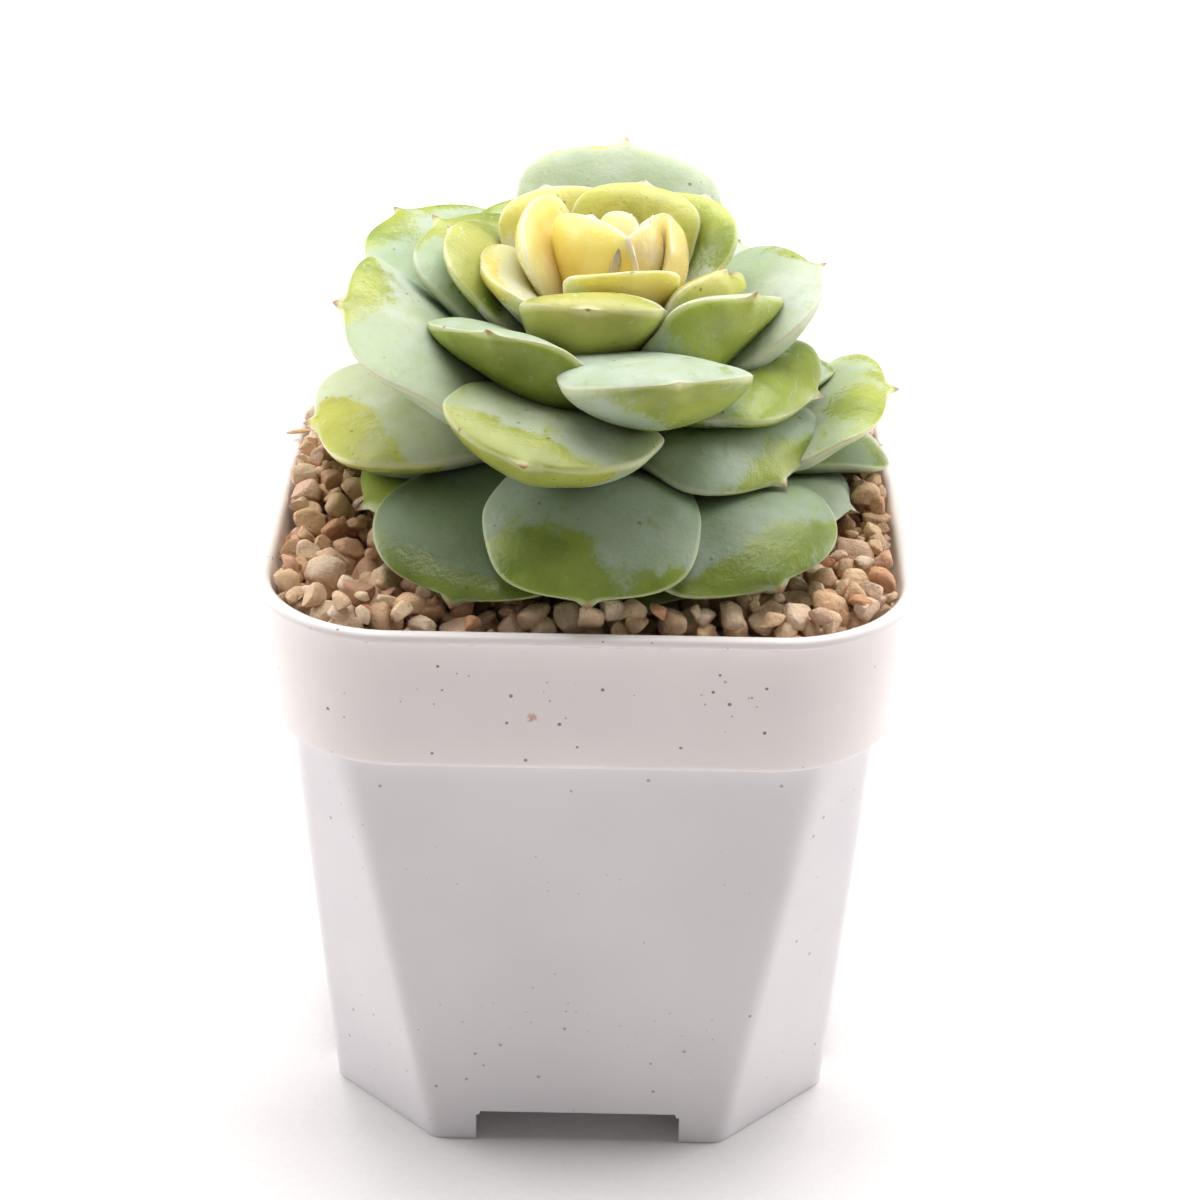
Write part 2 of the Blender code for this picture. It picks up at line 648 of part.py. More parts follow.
def tidied(mesh, dist):
    """Welded, triangulated copy of a mesh as its largest piece, and its volume."""
    bm = bmesh.new()
    bm.from_mesh(mesh)
    if dist > 0:
        bmesh.ops.remove_doubles(bm, verts=bm.verts, dist=dist)
        bmesh.ops.dissolve_degenerate(bm, edges=bm.edges, dist=dist)
    bmesh.ops.triangulate(bm, faces=bm.faces)
    keep_largest(bm)
    return bm, sound(bm)


def trimmed(mesh, tools, scratch):
    """Cut the mesh by each cutter in turn and keep the largest piece."""
    ob = bpy.data.objects.new("trim_work", mesh)
    cut = bpy.data.objects.new("trim_cutter", mesh)
    scratch.objects.link(ob)
    scratch.objects.link(cut)
    mod = ob.modifiers.new("trim", 'BOOLEAN')
    mod.operation = 'DIFFERENCE'
    mod.solver = 'EXACT'
    mod.object = cut
    bm, volume = tidied(mesh, 0.0)
    bm.free()
    def cut_by(tool, raw):
        """One cut; further tries shift the cutter by a hair where faces coincide."""
        nonlocal volume
        cut.data = tool
        for hair in (0.0, 0.006, -0.009, 0.015, -0.021, 0.03):
            cut.location = (hair * MM, 0.7 * hair * MM, -0.6 * hair * MM)
            mod.use_self = hair < 0
            bpy.context.view_layer.update()
            dg = bpy.context.evaluated_depsgraph_get()
            result = bpy.data.meshes.new_from_object(ob.evaluated_get(dg))
            for dist in (WELD, WELD / 8, 0.0):
                bm, left = tidied(result, dist)
                good = 0.03 * volume < left <= volume * 1.001
                if good and raw is not None and BVHTree.FromBMesh(bm).overlap(raw):
                    good = False
                if good:
                    bm.to_mesh(result)
                    ob.data = result
                    volume = left
                bm.free()
                if good:
                    return True
        return False

    for tool, plain, raw, wide in tools:
        if cut_by(tool, raw) or any(cut_by(w, raw) for w in wide):
            continue
        # the swollen cutter leaves a spot of contact: take that off as well
        cut_by(tool, None)
        if not cut_by(plain, None):
            TROUBLE.append(ob.data.name)
    out = bmesh.new()
    out.from_mesh(ob.data)
    bpy.data.objects.remove(ob)
    bpy.data.objects.remove(cut)
    return out


def keep_largest(bm):
    seen, pieces = set(), []
    for start in bm.faces:
        if start in seen:
            continue
        piece, todo = [], [start]
        seen.add(start)
        while todo:
            f = todo.pop()
            piece.append(f)
            for e in f.edges:
                for g in e.link_faces:
                    if g not in seen:
                        seen.add(g)
                        todo.append(g)
        volume = sum(f.verts[0].co.dot(f.verts[1].co.cross(f.verts[2].co)) for f in piece)
        pieces.append((abs(volume), piece))
    pieces.sort(key=lambda q: q[0])
    spare = [f for _, piece in pieces[:-1] for f in piece]
    if spare:
        bmesh.ops.delete(bm, geom=spare, context='FACES')
    loose = [v for v in bm.verts if not v.link_faces]
    bmesh.ops.delete(bm, geom=loose, context='VERTS')


def build_leaves(coll, mats):
    scratch = make_collection("scratch")
    leaves = [Leaf(row) for row in leaf_rows()]
    settle(leaves)
    stem_bm = stem_solid(TRIM_GAP)
    stem_mesh = bpy.data.meshes.new("stem_cutter")
    stem_bm.to_mesh(stem_mesh)
    stem_bm.free()
    stem_bm = stem_solid()
    stem_tree = BVHTree.FromBMesh(stem_bm)
    stem_bm.free()
    boxes, tools, tool_trees, raws, plains, wides, trees = [], [], [], [], [], [], []
    for number, leaf in enumerate(leaves, 1):
        mesh = leaf_mesh(leaf)
        pts = leaf.points()
        lo, hi = pts.min(0) - 0.5, pts.max(0) + 0.5
        own = BVHTree.FromPolygons([v.co.copy() for v in mesh.vertices],
                                   [tuple(p.vertices) for p in mesh.polygons])
        use = [(stem_mesh, stem_mesh, stem_tree, [])]
        use += [(tool, plain, raw, wide) for tool, plain, (l, h), tree, raw, wide
                in zip(tools, plains, boxes, tool_trees, raws, wides)
                if np.all(lo < h) and np.all(l < hi) and own.overlap(tree)]
        bm = trimmed(mesh, use, scratch)
        add_object("leaf_%02d" % number, bm, coll, mats[number - 1], smooth=True)
        boxes.append((lo, hi))
        raws.append(own)
        plains.append(leaf_mesh(leaf, 0.03))
        wides.append([leaf_mesh(leaf, grow) for grow in WIDER_GAPS])
        tools.append(leaf_mesh(leaf, TRIM_GAP))
        tool_trees.append(BVHTree.FromPolygons([v.co.copy() for v in tools[-1].vertices],
                                               [tuple(p.vertices) for p in tools[-1].polygons]))
        trees.append(BVHTree.FromPolygons([Vector(p) for p in pts], leaf.triangles()))
    bpy.data.collections.remove(scratch)
    return leaves, trees


GROUP_COLOUR = {
    "heart": ((0.86, 0.72, 0.36), 0.42, 0.3),
    "inner": ((0.60, 0.62, 0.25), 0.45, 0.2),
    "outer": ((0.50, 0.63, 0.42), 0.5, 0.1),
    "lower": ((0.40, 0.52, 0.38), 0.55, 0.1),
}


def main():
    clear_scene()
    coll = make_collection("potted_succulent")
    cutters = make_collection("cutters")
    cutters.hide_render = True
    pot_mat = principled("pot_plastic", (0.82, 0.81, 0.81), 0.4)
    soil_mat = principled("soil", (0.05, 0.035, 0.025), 0.95)
    clay_mat = principled("clay_grains", (0.56, 0.36, 0.2), 0.9)
    stem_mat = principled("stem_green", (0.42, 0.5, 0.25), 0.6)
    build_pot(coll, cutters, pot_mat)
    build_soil(coll, cutters, soil_mat)
    build_stem(coll, stem_mat)
    mats = []
    for number, row in enumerate(leaf_rows(), 1):
        colour, rough, sub = GROUP_COLOUR[row[-2]]
        mats.append(principled("leaf_%02d_skin" % number, colour, rough, 0.0, sub))
    leaves, trees = build_leaves(coll, mats)
    build_dressing(coll, clay_mat, trees)


main()
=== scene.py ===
"""Looks for the potted rosette succulent: fine leaves, loose clay grains and a
smooth moulded pot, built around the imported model's frame.  Works in mm inside,
metres in the meshes."""
import math

import bmesh
import bpy
import numpy as np
from mathutils import Matrix, Vector
from mathutils.bvhtree import BVHTree


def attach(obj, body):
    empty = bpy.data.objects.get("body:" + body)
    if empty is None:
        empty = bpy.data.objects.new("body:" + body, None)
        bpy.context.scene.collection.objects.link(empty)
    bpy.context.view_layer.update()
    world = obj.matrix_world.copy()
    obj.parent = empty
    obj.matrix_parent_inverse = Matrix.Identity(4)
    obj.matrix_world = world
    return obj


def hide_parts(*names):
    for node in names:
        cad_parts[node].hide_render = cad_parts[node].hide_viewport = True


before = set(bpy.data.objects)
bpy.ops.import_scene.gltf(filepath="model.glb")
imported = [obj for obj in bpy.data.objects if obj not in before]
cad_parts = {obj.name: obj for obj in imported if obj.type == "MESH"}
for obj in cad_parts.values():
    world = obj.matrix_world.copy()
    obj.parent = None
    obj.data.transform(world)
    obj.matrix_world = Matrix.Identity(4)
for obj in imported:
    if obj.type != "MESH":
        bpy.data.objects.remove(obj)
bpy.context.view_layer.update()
MM = 0.001

# ------------------------------------------------------------ pot sizes
POT_HEIGHT = 68.0
COLLAR_HEIGHT = 16.4
COLLAR_Z = POT_HEIGHT - COLLAR_HEIGHT
LIP_HALF, LIP_RADIUS, LIP_HEIGHT = 35.0, 15.2, 1.1
COLLAR_TOP_HALF, COLLAR_BOTTOM_HALF, COLLAR_WALL = 34.15, 33.4, 1.5
BODY_TOP_HALF, BODY_FOOT_HALF, BODY_RADIUS, BODY_WALL = 31.2, 28.2, 9.0, 1.4
CHAMFER_FOOT, CHAMFER_SLOPE = 31.4, 0.162
NOTCH_WIDTH, NOTCH_HEIGHT = 23.0, 4.1
FLOOR_UNDERSIDE, FLOOR_THICKNESS, FOOT_WALL = 4.4, 1.6, 2.0
SOIL_TOP = 60.5
STEM_X, STEM_Y = 1.5, -0.5

# stem: (height, radius) from the root crown to the heart of the rosette
STEM = [(54.0, 2.2), (60.0, 3.8), (66.0, 5.0), (72.0, 5.2), (80.0, 4.4),
        (86.0, 3.0), (90.0, 1.6), (92.0, 0.6)]

# --------------------------------------------------------------- leaves
# The leaves climb the stem at an even pitch and are numbered from the heart
# of the rosette outwards.  GROWTH gives the nominal leaf at a few ranks and
# the ranks between are interpolated: rank, length, start and end elevation,
# width, thickness, cup, bluntness of the tip.
TOP_LEAF_HEIGHT = 89.8
LEAF_PITCH = 0.46
BASE_INSET = 0.7            # how far a leaf base sinks into the stem
GROWTH = [
    (1, 11.0, 80, 85, 11.0, 3.0, 0.18, 0.9),
    (5, 15.5, 50, 80, 14.0, 3.6, 0.12, 0.8),
    (9, 18.0, 50, 52, 15.0, 4.0, 0.10, 0.8),
    (13, 20.5, 44, 50, 16.5, 4.6, 0.08, 0.7),
    (16, 25.0, 32, 40, 21.5, 6.2, 0.08, 0.6),
    (22, 27.0, 30, 20, 23.0, 6.2, 0.08, 0.6),
    (28, 28.0, 20, 4, 23.5, 6.2, 0.05, 0.7),
    (32, 29.5, 15, -18, 23.0, 5.6, 0.00, 0.8),
    (38, 29.0, 15, -24, 22.5, 5.4, 0.02, 0.7),
    (44, 26.0, 14, -18, 22.0, 5.0, 0.02, 0.5),
]
# Heading of each leaf round the stem, and what sets it apart from the
# nominal leaf of its rank.
LEAF_PLACES = [
    (30, {}),                                       # three leaves closed over the heart
    (-20, {}),
    (-130, dict(e1=110, thick=3.6, blunt=1.0)),
    (14, dict(length=13, width=12)),
    (165, dict(width=15.5)),
    (-74, dict(length=13.5, e0=58, e1=50, width=12.5, thick=3.2)),
    (-165, dict(length=15, e0=32, e1=46)),
    (70, {}),
    (120, {}),
    (-96, dict(length=17.5, e0=42, e1=30, thick=7.2, lift=1)),
    (45, {}),
    (168, dict(e0=34)),
    (-16, dict(length=16, e0=50, e1=52, width=15, roll=-14)),
    (85, dict(length=26, roll=8, width=23.5)),           # tall leaf at the back
    (-76, dict(length=29, e0=9, e1=31, thick=7.5, lift=1)),     # broad front leaf
    (150, dict(length=22.5)),
    (-124, dict(length=20.5, e0=16, e1=42, roll=8, lift=2)),
    (-29, dict(length=19.5, e0=37, e1=50, roll=-28, width=19)),
    (-104, dict(length=28.5, e0=6, e1=12, thick=7, cup=0.2, roll=-8)),
    (105, {}),
    (140, dict(length=30)),
    (12, dict(length=24, e0=42, e1=28)),
    (-18, dict(length=20.5, e0=30, e1=-5, width=23.5)),
    (60, {}),
    (208, dict(length=28.6, e0=33, e1=22, width=25.4, roll=-12, sweep=-22, blunt=1.5, lift=2)),
    (-170, dict(e0=0, e1=2, width=27, thick=7, blunt=1.3)),
    (-41, dict(length=20.5, e0=18, e1=-24, width=22)),
    (30, dict(length=22, e1=-12)),
    (120, {}),
    (-3, dict(length=27.4, e1=8, width=24.6, blunt=1.5)),
    (80, {}),
    (-92, dict(length=29.8, e0=9, e1=-22, width=22.4, cup=-0.1)),   # front leaf over the rim
    (60, {}),
    (150, {}),
    (-124, dict(length=31.5, e0=26, e1=-37, thick=6, sweep=18)),
    (-58, dict(length=31, e0=26, e1=-30, thick=6.2, blunt=1.0)),
    (105, {}),
    (20, {}),
    (-80, dict(length=25, e1=-28)),
    (174, dict(e0=22, e1=4)),
    (-160, dict(length=23, e0=20)),
    (80, {}),
    (-14, dict(length=24, e0=22)),
    (130, {}),
]


def leaf_rows():
    """Full dimensions of every leaf, from its rank, heading and own traits."""
    ranks = [g[0] for g in GROWTH]
    names = ("length", "e0", "e1", "width", "thick", "cup", "blunt")
    stem_heights = [z for z, _ in STEM]
    stem_radii = [r for _, r in STEM]
    rows = []
    for rank, (heading, own) in enumerate(LEAF_PLACES, 1):
        leaf = {name: float(np.interp(rank, ranks, [g[k] for g in GROWTH]))
                for k, name in enumerate(names, 1)}
        leaf.update(roll=0.0, sweep=0.0, lift=0.0)
        leaf.update(own)
        height = TOP_LEAF_HEIGHT - LEAF_PITCH * rank + leaf["lift"]
        radius = max(1.9, float(np.interp(height, stem_heights, stem_radii)) - BASE_INSET)
        group = ("heart" if rank in (1, 2, 3, 5) else "inner" if rank <= 13
                 else "outer" if rank <= 31 else "lower")
        rows.append((heading, radius, height, leaf["length"], leaf["e0"], leaf["e1"],
                     leaf["width"], leaf["thick"], leaf["cup"], leaf["roll"],
                     leaf["sweep"], group, leaf["blunt"]))
    return rows


LEAVES = leaf_rows()
LEAF_GAP = 0.35
FLOOR_OF_LEAVES = 66.6
OPEN_FROM = 0.38
MAX_GIVE = 2.6

# How each leaf wears its bloom.  bare_top / bare_low: share of the upper and
# lower faces where the bloom is rubbed off; tone: 0 fresh green, 1 yellow;
# pale: how milky; painted_shade: painted shade, how far the leaf's colours are
# darkened where it lies in shadow; specks: dirt; glow: light through the leaf
STYLE_DEFAULT = {
    "heart": dict(bare_top=0.90, bare_low=0.80, tone=1.0, pale=0.80, painted_shade=0.0, specks=0.22, glow=0.75),
    "inner": dict(bare_top=0.55, bare_low=0.62, tone=0.62, pale=0.35, painted_shade=0.08, specks=0.40, glow=0.50),
    "outer": dict(bare_top=0.15, bare_low=0.38, tone=0.35, pale=0.30, painted_shade=0.12, specks=0.30, glow=0.28),
    # painted shade: the lower leaves lie in the rosette's shadow, so their colours are painted darker
    "lower": dict(bare_top=0.22, bare_low=0.35, tone=0.25, pale=0.00, painted_shade=0.75, specks=0.35, glow=0.10,
                  top_from=0.78, rub=0.5),
}
# tone, pale and the rest as above; top_from and low_from: how far along the
# leaf the rubbed zone begins; lean: rubbed more on one side; rub: how fully
STYLE = {
    1: dict(tone=1.1, pale=1.0, peach=0.95),
    2: dict(tone=0.9, pale=0.8, peach=0.8),
    3: dict(tone=1.0, pale=0.7, specks=0.3),
    4: dict(tone=0.95, pale=0.5, specks=0.9, peach=0.4),
    5: dict(tone=0.95, pale=1.0, specks=0.3, peach=0.5),
    6: dict(tone=0.80, pale=1.0, bare_low=0.45),
    7: dict(tone=0.72, pale=0.45, bare_top=0.5, painted_shade=0.15),
    8: dict(tone=0.55, pale=0.5),
    9: dict(tone=0.62, pale=0.8, bare_low=0.5),
    10: dict(tone=0.58, pale=0.2, bare_top=0.25, bare_low=0.85, painted_shade=0.3, glow=0.35),
    11: dict(tone=0.42, pale=0.4, bare_top=0.5, bare_low=0.5),
    12: dict(tone=0.46, pale=0.9, bare_top=0.35, top_from=0.6, lean=0.15),
    13: dict(tone=0.62, pale=0.25, specks=0.6, painted_shade=0.1),
    14: dict(tone=0.42, pale=0.7, bare_top=0.10, top_from=1.0, rub=0.3, bare_low=0.3, glow=0.4, lean=0.1),
    15: dict(tone=0.36, pale=0.15, bare_top=0.10, top_from=1.2, bare_low=0.62, painted_shade=0.35, low_from=0.70, rub=0.3),
    16: dict(tone=0.36, pale=0.4, bare_top=0.30, top_from=0.75),
    17: dict(tone=0.32, pale=0.2, bare_top=0.12, top_from=1.1, bare_low=0.62, painted_shade=0.25, low_from=0.6),
    18: dict(tone=0.40, pale=0.25, bare_top=0.15, top_from=1.1, bare_low=0.80, painted_shade=0.12),
    19: dict(tone=0.56, pale=0.0, bare_top=0.10, top_from=0.86, rub=0.9, bare_low=0.30, specks=1.0, painted_shade=0.6),
    22: dict(tone=0.42, pale=0.5, bare_top=0.18, bare_low=0.35, lean=0.15),
    23: dict(tone=0.30, pale=0.15, bare_top=0.45, bare_low=0.5, painted_shade=0.25),
    25: dict(tone=0.42, pale=0.6, bare_top=0.08, top_from=0.92, bare_low=0.3, glow=0.3),
    26: dict(tone=0.56, pale=0.2, bare_top=0.10, top_from=0.90, lean=0.30, rub=0.85, bare_low=0.72, specks=0.7, painted_shade=0.1),
    27: dict(tone=0.28, pale=0.1, bare_top=0.15, top_from=0.84, painted_shade=0.3),
    30: dict(tone=0.46, pale=0.35, bare_top=0.20, top_from=0.78, bare_low=0.4, glow=0.3),
    32: dict(top_from=0.80, rub=0.6, specks=0.5),
    # painted shade: leaves 35, 36 and 39 lie low under the front leaves and are painted darkest
    35: dict(top_from=0.82, painted_shade=1.2),
    36: dict(top_from=0.80, rub=0.7, painted_shade=0.8),
    39: dict(painted_shade=1.3, bare_top=0.2),
    43: dict(painted_shade=0.3, top_from=1.2, bare_top=0.1),
    41: dict(painted_shade=0.3),
}


# ============================================================ leaf shape
def width_profile(s, blunt=0.0):
    peak = 0.62 + 0.04 * blunt
    rise = 0.20 + 0.80 * np.sin(np.pi / 2 * np.clip(s / peak, 0, 1)) ** 1.05
    t = np.clip((s - peak) / (1 - peak), 0, 1)
    fall = np.clip(1 - t ** (2.5 + 0.9 * blunt), 0, 1) ** (1 / (1.7 + 0.6 * blunt))
    return np.where(s < peak, rise, fall)


def thickness_profile(s):
    rise = 0.30 + 0.70 * np.sin(np.pi / 2 * np.clip(s / 0.5, 0, 1))
    t = np.clip((s - 0.5) / 0.5, 0, 1)
    fall = np.clip(1 - t ** 2.6, 0, 1) ** 0.62
    return np.where(s < 0.5, rise, fall)


class Leaf:
    """A thick pointed leaf: lens-shaped sections along a curved midrib."""

    def __init__(self, row, rings, segments):
        (self.heading, self.radius, self.height, self.length, self.e0, self.e1,
         self.width, self.thick, self.cup, self.roll, self.sweep, self.group,
         self.blunt) = row
        self.row = row
        self.rings, self.segments = rings, segments
        self.columns = segments // 2 + 1
        self.shift = np.zeros((rings, self.columns))
        self.thin = np.ones((rings, self.columns))
        self.prepare()

    def stations(self):
        q = (np.arange(self.rings) + 0.35) / (self.rings - 0.3)
        return 1 - (1 - q) ** 1.4

    def frames(self, s):
        fine = np.linspace(0, 1, 81)
        e = np.radians(self.e0 + (self.e1 - self.e0) * fine)
        h = np.radians(self.heading + self.sweep * fine)
        d = np.stack([np.cos(e) * np.cos(h), np.cos(e) * np.sin(h), np.sin(e)], 1)
        c = np.zeros((81, 3))
        c[1:] = np.cumsum((d[1:] + d[:-1]) / 2 * self.length / 80, 0)
        a = math.radians(self.heading)
        c += np.array([STEM_X + self.radius * math.cos(a),
                       STEM_Y + self.radius * math.sin(a), self.height])
        centre = np.stack([np.interp(s, fine, c[:, k]) for k in range(3)], 1)
        e = np.radians(self.e0 + (self.e1 - self.e0) * s)
        h = np.radians(self.heading + self.sweep * s)
        t = np.stack([np.cos(e) * np.cos(h), np.cos(e) * np.sin(h), np.sin(e)], 1)
        b = np.stack([-np.sin(h), np.cos(h), 0 * h], 1)
        n = np.cross(t, b)
        r = math.radians(self.roll)
        return centre, t, math.cos(r) * b + math.sin(r) * n, math.cos(r) * n - math.sin(r) * b

    def prepare(self):
        s = self.stations()
        self.s = s
        self.centre, self.tangent, self.side, self.normal = self.frames(s)
        th = np.linspace(0, 2 * np.pi, self.segments, endpoint=False)
        self.x = np.cos(th)
        z = np.sign(np.sin(th)) * np.abs(np.sin(th)) ** 1.45
        if self.segments > 20:
            z = np.sign(np.sin(th)) * np.where(np.sin(th) > 0, np.abs(np.sin(th)) ** 1.35,
                                               np.abs(np.sin(th)) ** 1.12)
        self.z = np.where(z > 0, z * 0.42, z * 0.58)
        self.col = np.minimum(np.arange(self.segments),
                              self.segments - np.arange(self.segments))
        self.w = self.width / 2 * width_profile(s, self.blunt)
        self.t = self.thick * thickness_profile(s)
        ends, tan, _, nor = self.frames(np.array([0.0, 1.0]))
        self.base, self.tip = ends[0] - tan[0] * 0.2, ends[1] + tan[1] * 0.25
        self.base_normal, self.tip_normal = nor[0], nor[1]

    def parts(self):
        """Sideways and upward offsets of every grid point from the midrib."""
        cup = self.cup * self.width / 2 * width_profile(self.s, self.blunt) ** 2
        sh = self.shift[:, self.col]
        th = self.thin[:, self.col]
        lift = self.z[None, :] * self.t[:, None] * th + cup[:, None] * self.x[None, :] ** 2 + sh
        across = self.x[None, :] * self.w[:, None]
        return across, lift

    def points(self):
        across, lift = self.parts()
        g = (self.centre[:, None, :] + self.side[:, None, :] * across[:, :, None]
             + self.normal[:, None, :] * lift[:, :, None])
        mid = self.columns // 2
        base = self.base + self.base_normal * self.shift[0, mid]
        tip = self.tip + self.tip_normal * self.shift[-1, mid]
        return np.concatenate([g.reshape(-1, 3), base[None], tip[None]])

    def faces(self):
        r, n = self.rings, self.segments
        out = []
        for i in range(r - 1):
            for j in range(n):
                k = (j + 1) % n
                out.append((i * n + j, i * n + k, (i + 1) * n + k, (i + 1) * n + j))
        for j in range(n):
            k = (j + 1) % n
            out.append((r * n, k, j))
            out.append((r * n + 1, (r - 1) * n + j, (r - 1) * n + k))
        return out

    def triangles(self):
        out = []
        for f in self.faces():
            if len(f) == 4:
                out.append((f[0], f[1], f[2]))
                out.append((f[0], f[2], f[3]))
            else:
                out.append(f)
        return out


def blur(field):
    p = np.pad(field, 1, mode='edge')
    return (p[:-2, 1:-1] + p[2:, 1:-1] + p[1:-1, :-2] + p[1:-1, 2:]
            + 4 * p[1:-1, 1:-1]) / 8.0


def settle(leaves, rounds):
    """Let neighbouring leaves give way to each other where they spread out."""
    tris = [leaf.triangles() for leaf in leaves]
    open_ring = [int(np.argmax(leaf.s > OPEN_FROM)) for leaf in leaves]
    for turn in range(rounds):
        pts = [leaf.points() for leaf in leaves]
        trees = [BVHTree.FromPolygons([Vector(p) for p in q], t) for q, t in zip(pts, tris)]
        lo = np.array([q.min(0) for q in pts]) - 0.6
        hi = np.array([q.max(0) for q in pts]) + 0.6
        for a, leaf in enumerate(leaves):
            up = np.zeros((leaf.rings, leaf.segments))
            down = np.zeros((leaf.rings, leaf.segments))
            near = [b for b in range(len(leaves)) if b != a
                    and np.all(lo[a] < hi[b]) and np.all(lo[b] < hi[a])]
            for i in range(open_ring[a], leaf.rings):
                n = leaf.normal[i]
                for j in range(leaf.segments):
                    p = pts[a][i * leaf.segments + j]
                    v = Vector(p)
                    for b in near:
                        if np.any(p < lo[b]) or np.any(p > hi[b]):
                            continue
                        loc, nor, face, dist = trees[b].find_nearest(v, 4.0)
                        if loc is None or face // (2 * leaf.segments) < open_ring[b] - 1:
                            continue
                        inside = (v - loc).dot(nor) < 0
                        gap = LEAF_GAP - (-dist if inside else dist)
                        if gap <= 0:
                            continue
                        along = max(0.2, abs(float(np.dot(n, nor))))
                        push = min(gap * along, 1.2)
                        if a < b:
                            up[i, j] = max(up[i, j], 0.35 * push)
                        else:
                            down[i, j] = max(down[i, j], 0.65 * push)
                    if p[2] < FLOOR_OF_LEAVES:
                        up[i, j] = max(up[i, j], min(1.0, FLOOR_OF_LEAVES - p[2]))
            cu = np.zeros_like(leaf.shift)
            cd = np.zeros_like(leaf.shift)
            for j in range(leaf.segments):
                c = leaf.col[j]
                cu[:, c] = np.maximum(cu[:, c], up[:, j])
                cd[:, c] = np.maximum(cd[:, c], down[:, j])
            squeeze = np.minimum(cu, cd)
            leaf.thin = np.clip(blur(leaf.thin - 0.3 * squeeze / np.maximum(leaf.t[:, None], 0.5)),
                                0.7, 1.0)
            step = blur(blur(cu - cd))
            leaf.shift = np.clip(leaf.shift + step, -MAX_GIVE, MAX_GIVE)
            leaf.shift = 0.8 * leaf.shift + 0.2 * blur(leaf.shift)


def resample(coarse, fine, field):
    """Carry a field on a coarse leaf grid over to a fine one, smoothly."""
    cx = np.arccos(np.clip(coarse.x[:coarse.columns], -1, 1))
    fx = np.arccos(np.clip(fine.x[:fine.columns], -1, 1))
    rows = np.stack([np.interp(fx, cx, row) for row in field])
    out = np.stack([np.interp(fine.s, coarse.s, rows[:, k]) for k in range(fine.columns)], 1)
    for _ in range(6):
        out = blur(out)
    return out


def wave(p, k, seed):
    """Smooth value from -1 to 1 made of a few crossed sine waves."""
    r = np.random.RandomState(seed)
    out = np.zeros(p.shape[0])
    for _ in range(5):
        d = r.normal(size=3)
        d /= np.linalg.norm(d)
        out += np.sin(p @ d * k * r.uniform(0.7, 1.5) + r.uniform(0, 6.28))
    return out / 3.2


def put_attribute(mesh, name, values):
    a = mesh.attributes.new(name, 'FLOAT', 'POINT')
    a.data.foreach_set("value", np.asarray(values, np.float32))


def smoothstep(a, b, v):
    t = np.clip((v - a) / (b - a), 0, 1)
    return t * t * (3 - 2 * t)


